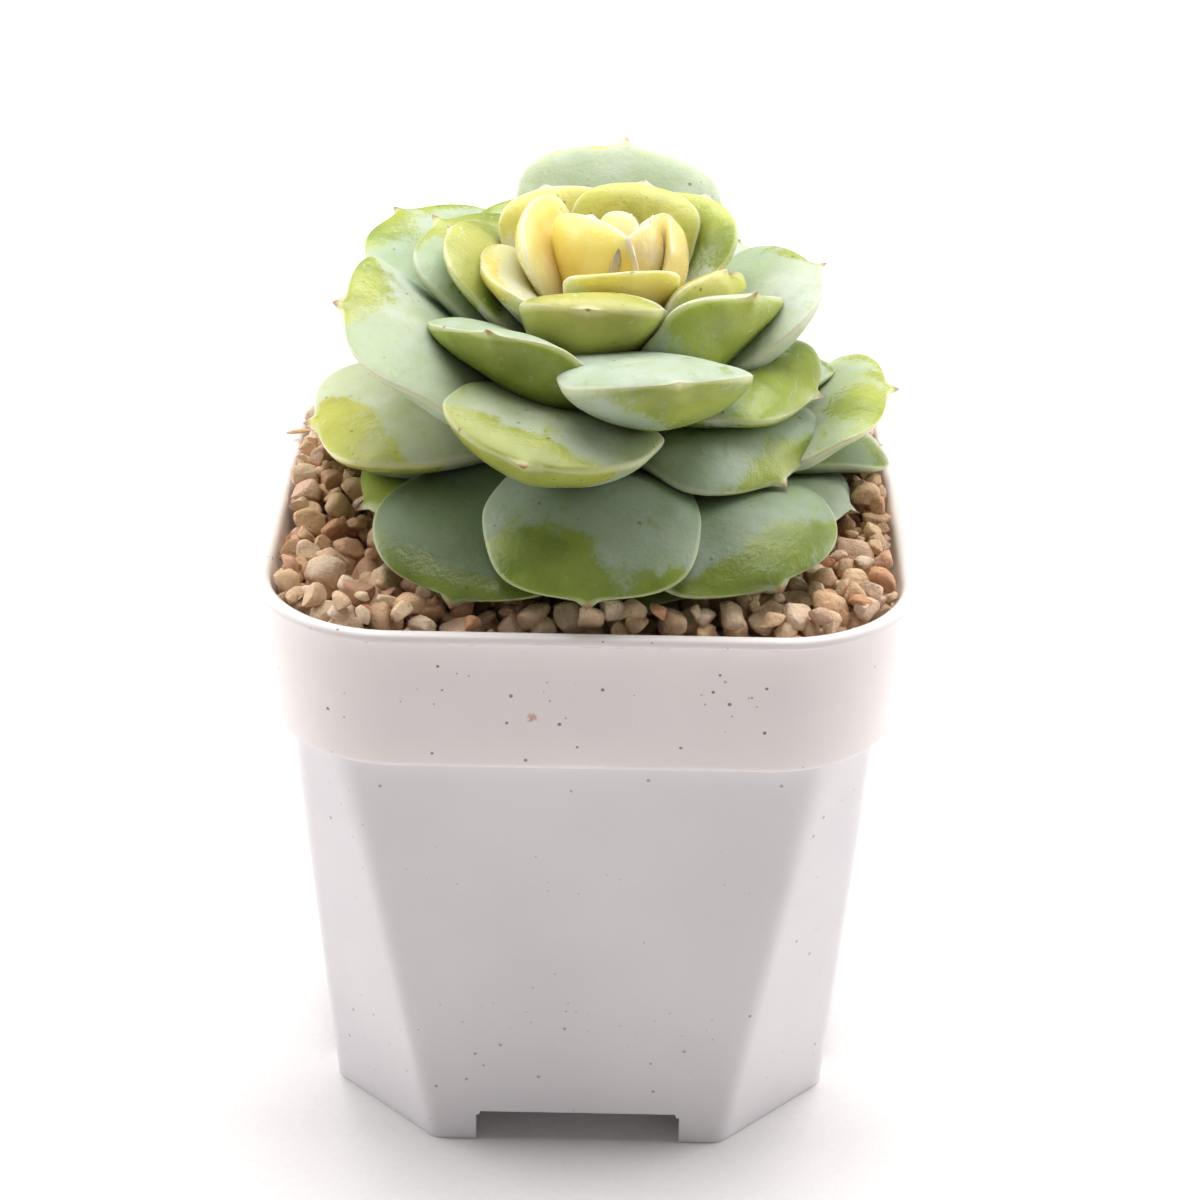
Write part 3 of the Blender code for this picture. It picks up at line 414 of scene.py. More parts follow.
def fine_leaf(number, coarse, style):
    """The visible mesh of one leaf, with the fields that its skin is painted by."""
    rings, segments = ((46, 64))
    leaf = Leaf(coarse.row, rings, segments)
    leaf.shift = resample(coarse, leaf, coarse.shift)
    leaf.thin = resample(coarse, leaf, coarse.thin)
    rng = np.random.RandomState(400 + number)
    # uneven outline and a soft keel under the tip
    wob = (0.018 * np.sin(leaf.s * rng.uniform(6, 10) + rng.uniform(0, 6))[:, None]
           * np.sign(leaf.x)[None, :])
    wob += 0.012 * np.sin(leaf.s * 17 + rng.uniform(0, 6))[:, None]
    across, lift = leaf.parts()
    across = across * (1 + wob * smoothstep(0.25, 0.6, leaf.s)[:, None])
    keel = smoothstep(0.55, 0.95, leaf.s)[:, None] * np.exp(-(leaf.x[None, :] / 0.22) ** 2)
    lift = lift - np.where(leaf.z < 0, 1, 0)[None, :] * keel * 0.10 * leaf.thick * 0.6 \
        * np.clip(1 - ((leaf.s[:, None] - 0.9) / 0.12).clip(0, 1) ** 2, 0, 1)
    g = (leaf.centre[:, None, :] + leaf.side[:, None, :] * across[:, :, None]
         + leaf.normal[:, None, :] * lift[:, :, None])
    # mucro: the short pointed tip
    off = np.sqrt(across ** 2 + (lift - leaf.shift[:, leaf.col]) ** 2)
    size = {"heart": 0.0, "inner": 0.15, "outer": 0.9, "lower": 0.9}[leaf.group]
    spike = 0.75 * size * np.exp(-(off / 0.42) ** 1.5) * (leaf.s > 0.93)[:, None]
    beak = 0.45 * size * np.exp(-(across / 1.6) ** 2) * smoothstep(0.90, 1.0, leaf.s)[:, None]
    g = g + leaf.tangent[:, None, :] * (spike + beak)[:, :, None]
    mid = leaf.columns // 2
    base = leaf.base + leaf.base_normal * leaf.shift[0, mid]
    tip = leaf.tip + leaf.tip_normal * leaf.shift[-1, mid] + leaf.tangent[-1] * (0.1 + 1.25 * size)
    pts = np.concatenate([g.reshape(-1, 3), base[None], tip[None]])
    # slight unevenness of the flesh
    th = np.concatenate([np.repeat(leaf.normal, segments, 0), leaf.normal[:1], leaf.normal[-1:]])
    s_all = np.concatenate([np.repeat(leaf.s, segments), [0.0, 1.0]])
    pts = pts + th * (0.10 * wave(pts, 0.55, 900 + number) * smoothstep(0.2, 0.5, s_all)
                      * smoothstep(1.0, 0.9, s_all))[:, None]
    bm_mesh = bpy.data.meshes.new("leaf_%02d_flesh" % number)
    bm_mesh.from_pydata([tuple(p * MM) for p in pts], [], leaf.faces())
    bm_mesh.update()
    bm = bmesh.new()
    bm.from_mesh(bm_mesh)
    bmesh.ops.recalc_face_normals(bm, faces=bm.faces)
    if bm.calc_volume(signed=True) < 0:
        bmesh.ops.reverse_faces(bm, faces=bm.faces)
    bm.to_mesh(bm_mesh)
    bm.free()
    bm_mesh.shade_smooth()

    x_all = np.concatenate([np.tile(leaf.x, rings), [0.0, 0.0]])
    up_all = np.concatenate([np.tile(np.sign(leaf.z) * np.abs(np.sin(
        np.linspace(0, 2 * np.pi, segments, endpoint=False))) ** 0.6, rings), [0.0, 0.0]])
    w_all = np.concatenate([np.repeat(leaf.w, segments), [0.5, 0.05]])
    edge = np.minimum((1 - np.abs(x_all)) * w_all * 1.1 + 0.02, (1 - s_all) * leaf.length * 1.6 + 0.02)
    tipd = np.sqrt(((pts - tip) ** 2).sum(1))
    # where the bloom is thin: near the tip and rim, in wide wavy patches
    near_tip = smoothstep(0.35, 1.0, s_all)
    patch = wave(pts, 0.26, 70 + number)
    top, low = style["bare_top"], style["bare_low"]
    share = np.where(up_all > 0, top, low)
    bare = share + 0.26 * patch * (0.45 + share)
    start = np.where(up_all > 0, style.get("top_from", 0.86), style.get("low_from", 0.80))
    ramp = smoothstep(start - 0.12, start + 0.12, s_all + 0.10 * patch + style.get("lean", 0.0) * x_all)
    bare += style.get("rub", 0.42) * ramp
    bare += 0.10 * smoothstep(2.2, 0.2, edge) * np.where(up_all > 0, 0.7, -0.8)
    put_attribute(bm_mesh, "bare", np.clip(bare, 0, 1.2))
    put_attribute(bm_mesh, "edge_mm", edge)
    put_attribute(bm_mesh, "tip_mm", tipd)
    put_attribute(bm_mesh, "along", s_all)
    put_attribute(bm_mesh, "upper", up_all)
    return bm_mesh


# ============================================================= materials
class Nodes:
    """Small helper for writing node trees."""

    def __init__(self, name):
        self.mat = bpy.data.materials.new(name)
        self.mat.use_nodes = True
        self.nt = self.mat.node_tree
        self.bsdf = self.nt.nodes["Principled BSDF"]
        self.coord = self.nt.nodes.new("ShaderNodeTexCoord").outputs["Object"]

    def link(self, a, b):
        self.nt.links.new(a, b)

    def attr(self, name):
        n = self.nt.nodes.new("ShaderNodeAttribute")
        n.attribute_name = name
        return n.outputs["Fac"]

    def mapped(self, offset=(0, 0, 0), scale=(1, 1, 1)):
        n = self.nt.nodes.new("ShaderNodeMapping")
        n.inputs["Location"].default_value = offset
        n.inputs["Scale"].default_value = scale
        self.link(self.coord, n.inputs["Vector"])
        return n.outputs["Vector"]

    def noise(self, scale, detail=3.0, rough=0.55, distortion=0.0, vector=None):
        n = self.nt.nodes.new("ShaderNodeTexNoise")
        n.inputs["Scale"].default_value = scale
        n.inputs["Detail"].default_value = detail
        n.inputs["Roughness"].default_value = rough
        n.inputs["Distortion"].default_value = distortion
        self.link(vector or self.coord, n.inputs["Vector"])
        return n.outputs["Fac"]

    def voronoi(self, scale, feature='F1', randomness=1.0, vector=None):
        n = self.nt.nodes.new("ShaderNodeTexVoronoi")
        n.feature = feature
        n.inputs["Scale"].default_value = scale
        n.inputs["Randomness"].default_value = randomness
        self.link(vector or self.coord, n.inputs["Vector"])
        return n

    def math(self, op, a, b=None, clamp=False):
        n = self.nt.nodes.new("ShaderNodeMath")
        n.operation = op
        n.use_clamp = clamp
        for i, v in enumerate((a, b)):
            if v is None:
                continue
            if isinstance(v, (int, float)):
                n.inputs[i].default_value = v
            else:
                self.link(v, n.inputs[i])
        return n.outputs[0]

    def step(self, value, a, b, lo=0.0, hi=1.0):
        n = self.nt.nodes.new("ShaderNodeMapRange")
        n.interpolation_type = 'SMOOTHSTEP'
        self.link(value, n.inputs["Value"])
        for key, v in (("From Min", a), ("From Max", b), ("To Min", lo), ("To Max", hi)):
            n.inputs[key].default_value = v
        return n.outputs["Result"]

    def mix(self, fac, a, b, mode='MIX'):
        n = self.nt.nodes.new("ShaderNodeMix")
        n.data_type = 'RGBA'
        n.blend_type = mode
        n.clamp_factor = True
        if isinstance(fac, (int, float)):
            n.inputs[0].default_value = fac
        else:
            self.link(fac, n.inputs[0])
        for i, v in ((6, a), (7, b)):
            if isinstance(v, tuple):
                n.inputs[i].default_value = (*v[:3], 1.0)
            else:
                self.link(v, n.inputs[i])
        return n.outputs[2]

    def ramp(self, fac, stops):
        n = self.nt.nodes.new("ShaderNodeValToRGB")
        els = n.color_ramp.elements
        while len(els) < len(stops):
            els.new(0.5)
        for e, (pos, col) in zip(els, stops):
            e.position = pos
            e.color = (*col, 1.0)
        self.link(fac, n.inputs["Fac"])
        return n.outputs["Color"]

    def bump(self, height, distance, strength=1.0, normal=None):
        n = self.nt.nodes.new("ShaderNodeBump")
        n.inputs["Strength"].default_value = strength
        n.inputs["Distance"].default_value = distance
        self.link(height, n.inputs["Height"])
        if normal is not None:
            self.link(normal, n.inputs["Normal"])
        return n.outputs["Normal"]

    def set(self, **values):
        for key, v in values.items():
            socket = self.bsdf.inputs[key.replace("_", " ")]
            if isinstance(v, tuple):
                socket.default_value = (*v, 1.0) if len(v) == 3 and socket.type == 'RGBA' else v
            elif isinstance(v, (int, float)):
                socket.default_value = v
            else:
                self.link(v, socket)


def srgb(r, g, b):
    return tuple((c / 255 / 12.92) if c <= 10 else ((c / 255 + 0.055) / 1.055) ** 2.4
                 for c in (r, g, b))


def blend(a, b, t):
    return tuple(x + (y - x) * t for x, y in zip(a, b))


def leaf_material(number, style):
    n = Nodes("skin_leaf_%02d" % number)
    tone, pale, painted_shade = style["tone"], style["pale"], style["painted_shade"]
    green, olive = srgb(140, 164, 62), srgb(98, 124, 44)
    yellow, gold = blend(srgb(255, 228, 138), srgb(250, 212, 164), style.get("peach", 0.1)), srgb(246, 206, 104)
    lime = srgb(190, 198, 84)
    if tone < 0.5:
        fresh, dark = blend(green, lime, tone * 1.2), olive
    else:
        fresh = blend(blend(green, lime, 0.8), yellow, min(1.0, (tone - 0.5) * 2))
        dark = blend(olive, gold, min(1.0, (tone - 0.5) * 2))
    fresh = blend(fresh, srgb(246, 232, 188), 0.30 * pale * min(1.0, tone + 0.3))
    # painted shade: the shade share darkens the flesh colours of leaves lying in shadow
    fresh = blend(fresh, srgb(96, 110, 48), 0.7 * painted_shade)
    dark = blend(dark, srgb(58, 70, 32), 0.7 * painted_shade)
    bloom_a, bloom_b = srgb(202, 214, 206), srgb(174, 194, 172)
    bloom_a = blend(bloom_a, srgb(250, 238, 206), min(0.85, max(0.0, tone - 0.35) * 1.1))
    bloom_b = blend(bloom_b, srgb(226, 216, 150), min(0.85, max(0.0, tone - 0.35) * 1.1))
    # painted shade: the same share darkens the bloom and the pale rim
    bloom_a = blend(bloom_a, srgb(120, 138, 116), 0.8 * painted_shade)
    bloom_b = blend(bloom_b, srgb(92, 110, 78), 0.8 * painted_shade)
    rim = blend(srgb(222, 226, 200), srgb(252, 236, 204), min(1.0, tone))
    rim = blend(rim, srgb(170, 182, 120), 0.6 * painted_shade)
    shift = (0.013 * number, 0.021 * number, -0.017 * number)
    moved = n.mapped(shift)
    big = n.noise(85, 2.0, 0.45, 0.5, moved)
    mid = n.noise(420, 4.0, 0.6, 0.3, moved)
    fine = n.noise(1900, 5.0, 0.65, 0.0, moved)
    powder = n.noise(7000, 2.0, 0.6, 0.0, moved)
    bare = n.attr("bare")
    # bloom cover: noise against how bare this part of the leaf is
    streak = n.noise(520, 3.0, 0.6, 0.8, n.mapped(shift, (1.0, 0.35, 1.3)))
    level = n.math('ADD', n.math('MULTIPLY', big, 0.56),
                   n.math('ADD', n.math('MULTIPLY', mid, 0.25), n.math('MULTIPLY', fine, 0.19)))
    level = n.math('SUBTRACT', level, n.math('MULTIPLY', n.math('SUBTRACT', bare, 0.5), 0.62))
    cover = n.step(level, 0.40, 0.58)
    # fine rubs and scratches through the bloom, thicker dust in other places
    rub = n.step(streak, 0.60, 0.72, 1.0, 0.45)
    worn = n.step(mid, 0.36, 0.60, 0.84, 1.0)
    cover = n.math('MULTIPLY', cover, n.math('MULTIPLY', worn, rub))
    cover = n.math('MAXIMUM', cover, n.step(streak, 0.40, 0.28, 0.0, 0.42), True)
    flesh = n.mix(n.step(n.noise(160, 3.0, 0.5, 0.3, moved), 0.30, 0.60), dark, fresh)
    flesh = n.mix(n.step(n.attr("along"), 0.30, 0.95, 0.0, 0.55), flesh, fresh)
    # painted shade: leaves with a strong shade share get a dull green tip instead of a yellow one
    flesh = n.mix(n.step(n.attr("tip_mm"), 9.0, 1.0, 0.0, 0.12 + 0.3 * max(0, tone - 0.4)), flesh, blend(lime, yellow, 0.4 + 0.5 * min(1, tone)) if painted_shade < 0.4 else srgb(150, 160, 84))
    dust = n.mix(n.step(n.noise(70, 2.0, 0.5, 0.4, moved), 0.32, 0.62), bloom_b, bloom_a)
    dust = n.mix(n.step(mid, 0.62, 0.35, 0.0, 0.16), dust, bloom_b)
    skin = n.mix(n.math('MULTIPLY', cover, 0.84), flesh, dust)
    skin = n.mix(n.step(fine, 0.58, 0.78, 0.0, 0.30), skin, dark)
    skin = n.mix(n.step(streak, 0.66, 0.80, 0.0, 0.35), skin, fresh)
    skin = n.mix(n.step(n.attr("edge_mm"), 0.50, 0.08, 0.0, 0.42), skin, rim)
    # dirt: tiny dark specks and a few brown marks
    v = n.voronoi(430, vector=moved)
    pick = n.step(v.outputs["Color"], 0.80 - 0.35 * style["specks"], 0.84 - 0.35 * style["specks"])
    dot = n.math('MULTIPLY', n.step(v.outputs["Distance"], 0.13, 0.05), pick)
    v2 = n.voronoi(1500, vector=moved)
    pick2 = n.step(v2.outputs["Color"], 0.72, 0.76)
    zone = n.step(n.noise(230, 2.0, 0.5, 0.0, moved), 0.60 - 0.12 * style["specks"], 0.72 - 0.10 * style["specks"])
    dot2 = n.math('MULTIPLY', n.math('MULTIPLY', n.step(v2.outputs["Distance"], 0.34, 0.12), pick2), zone)
    dots = n.math('MAXIMUM', n.math('MULTIPLY', dot, 0.75), n.math('MULTIPLY', dot2, 0.35 + 0.4 * style["specks"]), True)
    skin = n.mix(dots, skin, srgb(98, 84, 44))
    reach = 1.15 if style["group"] in ("outer", "lower") else 0.55
    skin = n.mix(n.step(n.attr("tip_mm"), reach, 0.35 * reach, 0.0, 0.85), skin,
                 srgb(150, 96, 70) if number not in (15,) else srgb(236, 214, 180))
    rough = n.math('ADD', n.step(cover, 0.0, 1.0, 0.19, 0.50), n.math('MULTIPLY', n.math('SUBTRACT', fine, 0.5), 0.25), True)
    b1 = n.bump(mid, 0.00022, 0.8)
    b2 = n.bump(fine, 0.00007, 0.9, b1)
    b3 = n.bump(powder, 0.00002, 0.6, b2)
    n.set(Base_Color=skin, Roughness=rough, Normal=b3, IOR=1.42,
          Subsurface_Weight=min(1.0, style["glow"] * 1.15),
          Subsurface_Scale=0.0075 if style["group"] == "heart" else 0.0045,
          Specular_IOR_Level=0.5)
    n.bsdf.inputs["Subsurface Radius"].default_value = (0.95, 1.0, 0.5)
    return n.mat


def pot_material():
    n = Nodes("moulded_plastic")
    fine = n.noise(2600, 4.0, 0.6)
    soft = n.noise(45, 3.0, 0.5)
    base = n.mix(n.step(soft, 0.35, 0.7), srgb(222, 218, 221), srgb(228, 224, 226))
    height = n.nt.nodes.new("ShaderNodeSeparateXYZ")
    n.link(n.coord, height.inputs[0])
    collar = n.step(height.outputs["Z"], 0.0510, 0.0522)
    base = n.mix(collar, base, n.mix(n.step(soft, 0.35, 0.7), srgb(232, 225, 224), srgb(238, 231, 229)))
    # dust: grey-brown specks, thicker on the collar
    v = n.voronoi(420)
    pick = n.step(v.outputs["Color"], 0.60, 0.62)
    dot = n.math('MULTIPLY', n.step(v.outputs["Distance"], 0.105, 0.065), pick)
    vs = n.voronoi(860)
    pick_s = n.step(vs.outputs["Color"], 0.74, 0.77)
    dot_s = n.math('MULTIPLY', n.step(vs.outputs["Distance"], 0.13, 0.08), pick_s)
    amount = n.step(height.outputs["Z"], 0.048, 0.056, 0.55, 0.90)
    dots = n.math('MULTIPLY', n.math('MAXIMUM', dot, n.math('MULTIPLY', dot_s, 0.6)), amount)
    base = n.mix(dots, base, srgb(112, 96, 88))
    # thin brownish line darkening the crease under the lip, and along the inner edge at the same height
    zline = n.math('ABSOLUTE', n.math('SUBTRACT', height.outputs["Z"], 0.0668))
    crease = n.math('MULTIPLY', n.step(zline, 0.00035, 0.00008), n.step(n.noise(330, 3.0, 0.6), 0.52, 0.66))
    base = n.mix(n.math('MULTIPLY', crease, 0.65), base, srgb(140, 112, 96))
    # one small brown stain on the front of the collar
    p = n.nt.nodes.new("ShaderNodeVectorMath")
    p.operation = 'DISTANCE'
    n.link(n.coord, p.inputs[0])
    p.inputs[1].default_value = (-0.0052, -0.0340, 0.0580)
    stain = n.math('ADD', p.outputs["Value"], n.math('MULTIPLY', n.noise(2400, 2.0), 0.0010))
    base = n.mix(n.step(stain, 0.00125, 0.00085, 0.0, 0.75), base, srgb(196, 138, 100))
    wear = n.noise(900, 5.0, 0.7)
    rough = n.math('ADD', n.step(wear, 0.3, 0.75, 0.34, 0.46), 0.0)
    b1 = n.bump(n.noise(120, 2.0, 0.4), 0.00018, 0.5)
    b2 = n.bump(fine, 0.00002, 0.6, b1)
    n.set(Base_Color=base, Roughness=rough, Normal=b2, IOR=1.49, Subsurface_Weight=0.12,
          Subsurface_Scale=0.002, Specular_IOR_Level=0.45)
    n.bsdf.inputs["Subsurface Radius"].default_value = (1.0, 0.9, 0.85)
    return n.mat


def soil_material():
    n = Nodes("peat_mix")
    a = n.noise(700, 6.0, 0.7)
    v = n.voronoi(900)
    base = n.ramp(a, [(0.25, srgb(22, 16, 12)), (0.5, srgb(48, 36, 27)), (0.72, srgb(82, 62, 45))])
    base = n.mix(n.step(v.outputs["Distance"], 0.2, 0.05, 0.0, 0.35), base, srgb(120, 96, 70))
    b1 = n.bump(v.outputs["Distance"], 0.0008, 0.9)
    b2 = n.bump(a, 0.0008, 1.0, b1)
    n.set(Base_Color=base, Roughness=n.step(a, 0.3, 0.7, 0.98, 0.85), Normal=b2)
    return n.mat


def stem_material():
    n = Nodes("stem_skin")
    a = n.noise(500, 4.0, 0.6)
    base = n.ramp(a, [(0.3, srgb(96, 110, 58)), (0.55, srgb(142, 152, 84)), (0.75, srgb(168, 158, 110))])
    rings = n.nt.nodes.new("ShaderNodeTexWave")
    rings.bands_direction = 'Z'
    rings.inputs["Scale"].default_value = 110
    rings.inputs["Distortion"].default_value = 3.0
    n.link(n.coord, rings.inputs["Vector"])
    b1 = n.bump(rings.outputs["Fac"], 0.0004, 0.6)
    b2 = n.bump(a, 0.0002, 0.8, b1)
    n.set(Base_Color=base, Roughness=n.step(a, 0.3, 0.7, 0.7, 0.5), Normal=b2,
          Subsurface_Weight=0.1, Subsurface_Scale=0.002)
    return n.mat


def grain_material(name="fired_clay"):
    n = Nodes(name)
    r1, r2 = n.attr("grain_tint"), n.attr("grain_tone")
    body = n.ramp(r1, [(0.0, srgb(206, 168, 132)), (0.16, srgb(238, 204, 168)), (0.34, srgb(246, 220, 186)),
                       (0.52, srgb(236, 196, 154)), (0.68, srgb(250, 228, 200)), (0.82, srgb(236, 194, 168)),
                       (0.93, srgb(218, 164, 124)), (1.0, srgb(184, 144, 120))])
    blot = n.noise(650, 4.0, 0.6)
    grit = n.noise(3200, 5.0, 0.7)
    body = n.mix(n.step(blot, 0.46, 0.72, 0.0, 0.35), body, srgb(204, 150, 104))
    body = n.mix(n.step(grit, 0.56, 0.78, 0.0, 0.40), body, srgb(244, 222, 194))
    body = n.mix(n.step(grit, 0.40, 0.25, 0.0, 0.45), body, srgb(146, 106, 76))
    pits = n.voronoi(2200)
    hole = n.math('MULTIPLY', n.step(pits.outputs["Distance"], 0.22, 0.08),
                  n.step(pits.outputs["Color"], 0.74, 0.80))
    body = n.mix(n.math('MULTIPLY', hole, 0.6), body, srgb(116, 84, 62))
    shade = n.step(r2, 0.0, 1.0, 0.0, 0.22)
    body = n.mix(shade, body, srgb(150, 108, 76))
    b1 = n.bump(n.noise(1000, 4.0, 0.6), 0.0006, 0.8)
    b2 = n.bump(grit, 0.00022, 1.0, b1)
    b3 = n.bump(n.step(hole, 0.0, 1.0, 1.0, 0.0), 0.0002, 0.8, b2)
    n.set(Base_Color=body, Roughness=n.step(grit, 0.3, 0.7, 0.95, 0.82), Normal=b3,
          Specular_IOR_Level=0.25)
    return n.mat


# =================================================================== pot
def polar_square(theta, half, radius):
    """Distance from the axis to a rounded square's outline, for each angle."""
    a = np.abs((theta + np.pi / 4) % (np.pi / 2) - np.pi / 4)
    flat = half / np.cos(a)
    c = half - radius
    u = np.cos(a) * c + np.sin(a) * c
    inner = u ** 2 - (2 * c * c - radius ** 2)
    arc = u + np.sqrt(np.maximum(inner, 0))
    return np.where(np.tan(a) * half <= c, flat, arc)


def polar_diamond(theta, dist):
    a = np.abs((theta % (np.pi / 2)) - np.pi / 4)
    return dist / np.cos(a)


def soft_min(a, b, k):
    h = np.clip(0.5 + 0.5 * (b - a) / k, 0, 1)
    return b + (a - b) * h - k * h * (1 - h)


def body_outline(theta, z, inset=0.0, k=0.9):
    t = z / COLLAR_Z
    half = BODY_FOOT_HALF + (BODY_TOP_HALF - BODY_FOOT_HALF) * t - inset
    sq = polar_square(theta, half, BODY_RADIUS - inset)
    di = polar_diamond(theta, CHAMFER_FOOT + CHAMFER_SLOPE * z - inset)
    return soft_min(sq, di, k)


def build_pot_looks(mat):
    n = 480
    theta = np.linspace(0, 2 * np.pi, n, endpoint=False)
    h = POT_HEIGHT
    rings = []                              # (z, radii)

    def collar(z, half, radius):
        rings.append((z, polar_square(theta, half, radius)))

    def body(z, inset, shrink=0.0):
        rings.append((z, body_outline(theta, z, inset) - shrink))

    # underside of the floor, inner foot, foot, outer wall
    for f in (0.25, 0.6):
        rings.append((FLOOR_UNDERSIDE, body_outline(theta, FLOOR_UNDERSIDE, FOOT_WALL) * f))
    body(FLOOR_UNDERSIDE, FOOT_WALL + 0.15)
    body(FLOOR_UNDERSIDE - 0.15, FOOT_WALL)
    body(0.2, FOOT_WALL)
    body(0.06, FOOT_WALL - 0.05)
    body(0.0, FOOT_WALL - 0.2)
    body(0.0, 0.25)
    body(0.07, 0.08)
    body(0.25, 0.0)
    for z in np.linspace(1.5, COLLAR_Z - 0.8, 26):
        body(float(z), 0.0)
    body(COLLAR_Z - 0.25, -0.04)
    body(COLLAR_Z - 0.02, -0.35)
    collar(COLLAR_Z, COLLAR_BOTTOM_HALF - 0.95, 13.3)
    collar(COLLAR_Z + 0.03, COLLAR_BOTTOM_HALF - 0.55, 13.6)
    collar(COLLAR_Z + 0.12, COLLAR_BOTTOM_HALF - 0.28, 13.85)
    collar(COLLAR_Z + 0.32, COLLAR_BOTTOM_HALF - 0.09, 14.0)
    collar(COLLAR_Z + 0.75, COLLAR_BOTTOM_HALF, 14.1)
    for t in (0.25, 0.5, 0.75):
        collar(COLLAR_Z + 0.75 + t * (COLLAR_HEIGHT - 0.75 - LIP_HEIGHT - 0.35),
               COLLAR_BOTTOM_HALF + t * (COLLAR_TOP_HALF - COLLAR_BOTTOM_HALF), 14.1 + 0.5 * t)
    collar(h - LIP_HEIGHT - 0.35, COLLAR_TOP_HALF, 14.6)
    collar(h - LIP_HEIGHT - 0.12, COLLAR_TOP_HALF + 0.06, 14.65)
    collar(h - LIP_HEIGHT + 0.0, COLLAR_TOP_HALF + 0.3, 14.8)
    collar(h - LIP_HEIGHT + 0.06, LIP_HALF - 0.22, 15.0)
    collar(h - LIP_HEIGHT + 0.18, LIP_HALF - 0.05, LIP_RADIUS)
    collar(h - 0.62, LIP_HALF, LIP_RADIUS)
    collar(h - 0.32, LIP_HALF - 0.08, LIP_RADIUS)
    collar(h - 0.12, LIP_HALF - 0.30, LIP_RADIUS - 0.2)
    collar(h - 0.02, LIP_HALF - 0.62, LIP_RADIUS - 0.4)
    collar(h, LIP_HALF - 0.95, LIP_RADIUS - 0.8)
    collar(h - 0.06, LIP_HALF - 1.22, 13.95)
    collar(h - 0.25, LIP_HALF - 1.48, 13.7)
    collar(h - 0.7, LIP_HALF - 1.62, 13.6)
    collar(h - 1.2, LIP_HALF - 1.75, 13.5)
    collar(COLLAR_Z + 2.0, COLLAR_BOTTOM_HALF - COLLAR_WALL, 12.6)
    collar(COLLAR_Z + 1.7, COLLAR_BOTTOM_HALF - COLLAR_WALL - 0.15, 12.5)
    body(COLLAR_Z + 1.6, BODY_WALL - 0.3)
    body(COLLAR_Z + 1.3, BODY_WALL)
    floor_top = FLOOR_UNDERSIDE + FLOOR_THICKNESS
    for z in np.linspace(COLLAR_Z - 2, floor_top + 0.8, 8):
        body(float(z), BODY_WALL)
    body(floor_top, BODY_WALL + 0.6)
    for f in (0.6, 0.25):
        rings.append((floor_top, body_outline(theta, floor_top, BODY_WALL) * f))
    verts = [(0, 0, FLOOR_UNDERSIDE * MM)]
    for z, r in rings:
        verts += [(float(a) * MM, float(b) * MM, z * MM)
                  for a, b in zip(r * np.cos(theta), r * np.sin(theta))]
    verts.append((0, 0, floor_top * MM))
    faces = [(0, 1 + (i + 1) % n, 1 + i) for i in range(n)]
    for k in range(len(rings) - 1):
        a, b = 1 + k * n, 1 + (k + 1) * n
        for i in range(n):
            j = (i + 1) % n
            faces.append((a + i, a + j, b + j, b + i))
    last, top = 1 + (len(rings) - 1) * n, len(verts) - 1
    faces += [(last + i, last + (i + 1) % n, top) for i in range(n)]
    mesh = bpy.data.meshes.new("pot_moulding")
    mesh.from_pydata(verts, [], faces)
    bm = bmesh.new()
    bm.from_mesh(mesh)
    bmesh.ops.recalc_face_normals(bm, faces=bm.faces)
    if bm.calc_volume(signed=True) < 0:
        bmesh.ops.reverse_faces(bm, faces=bm.faces)
    bm.to_mesh(mesh)
    bm.free()
    pot = bpy.data.objects.new("pot_moulding", mesh)
    bpy.context.scene.collection.objects.link(pot)
    cutters = []
    for size in ((90.0, NOTCH_WIDTH), (NOTCH_WIDTH, 90.0)):
        bm = bmesh.new()
        bmesh.ops.create_cube(bm, size=1.0)
        for v in bm.verts:
            v.co = Vector((v.co.x * size[0] * MM, v.co.y * size[1] * MM,
                           (v.co.z + 0.5) * (NOTCH_HEIGHT + 1.0) * MM - 1.0 * MM))
        bmesh.ops.bevel(bm, geom=[e for e in bm.edges if all(v.co.z > 0.002 for v in e.verts)],
                        offset=0.5 * MM, segments=4, affect='EDGES')
        cutters.append(bm)
    for x, y, r in [(0, 0, 4.0)] + [(sx * 14.0, sy * 14.0, 2.5)
                                    for sx, sy in ((1, 1), (-1, 1), (-1, -1), (1, -1))]:
        bm = bmesh.new()
        bmesh.ops.create_cone(bm, cap_ends=True, segments=40, radius1=r * MM,
                              radius2=r * MM, depth=6.0 * MM)
        bmesh.ops.translate(bm, verts=bm.verts, vec=(x * MM, y * MM, 5.2 * MM))
        cutters.append(bm)
    obs = []
    for bm in cutters:
        m = bpy.data.meshes.new("cut")
        bm.to_mesh(m)
        bm.free()
        ob = bpy.data.objects.new("cut", m)
        bpy.context.scene.collection.objects.link(ob)
        obs.append(ob)
        mod = pot.modifiers.new("cut", 'BOOLEAN')
        mod.operation, mod.solver, mod.object = 'DIFFERENCE', 'EXACT', ob
    dg = bpy.context.evaluated_depsgraph_get()
    final = bpy.data.meshes.new_from_object(pot.evaluated_get(dg))
    for ob in obs:
        bpy.data.objects.remove(ob)
    pot.modifiers.clear()
    pot.data = final
    bm = bmesh.new()
    bm.from_mesh(final)
    bmesh.ops.remove_doubles(bm, verts=bm.verts, dist=1e-6)
    for f in bm.faces:
        f.smooth = True
    for e in bm.edges:
        e.smooth = len(e.link_faces) == 2 and e.calc_face_angle(0.0) < math.radians(38)
    bm.to_mesh(final)
    bm.free()
    final.materials.clear()
    final.materials.append(mat)
    return pot


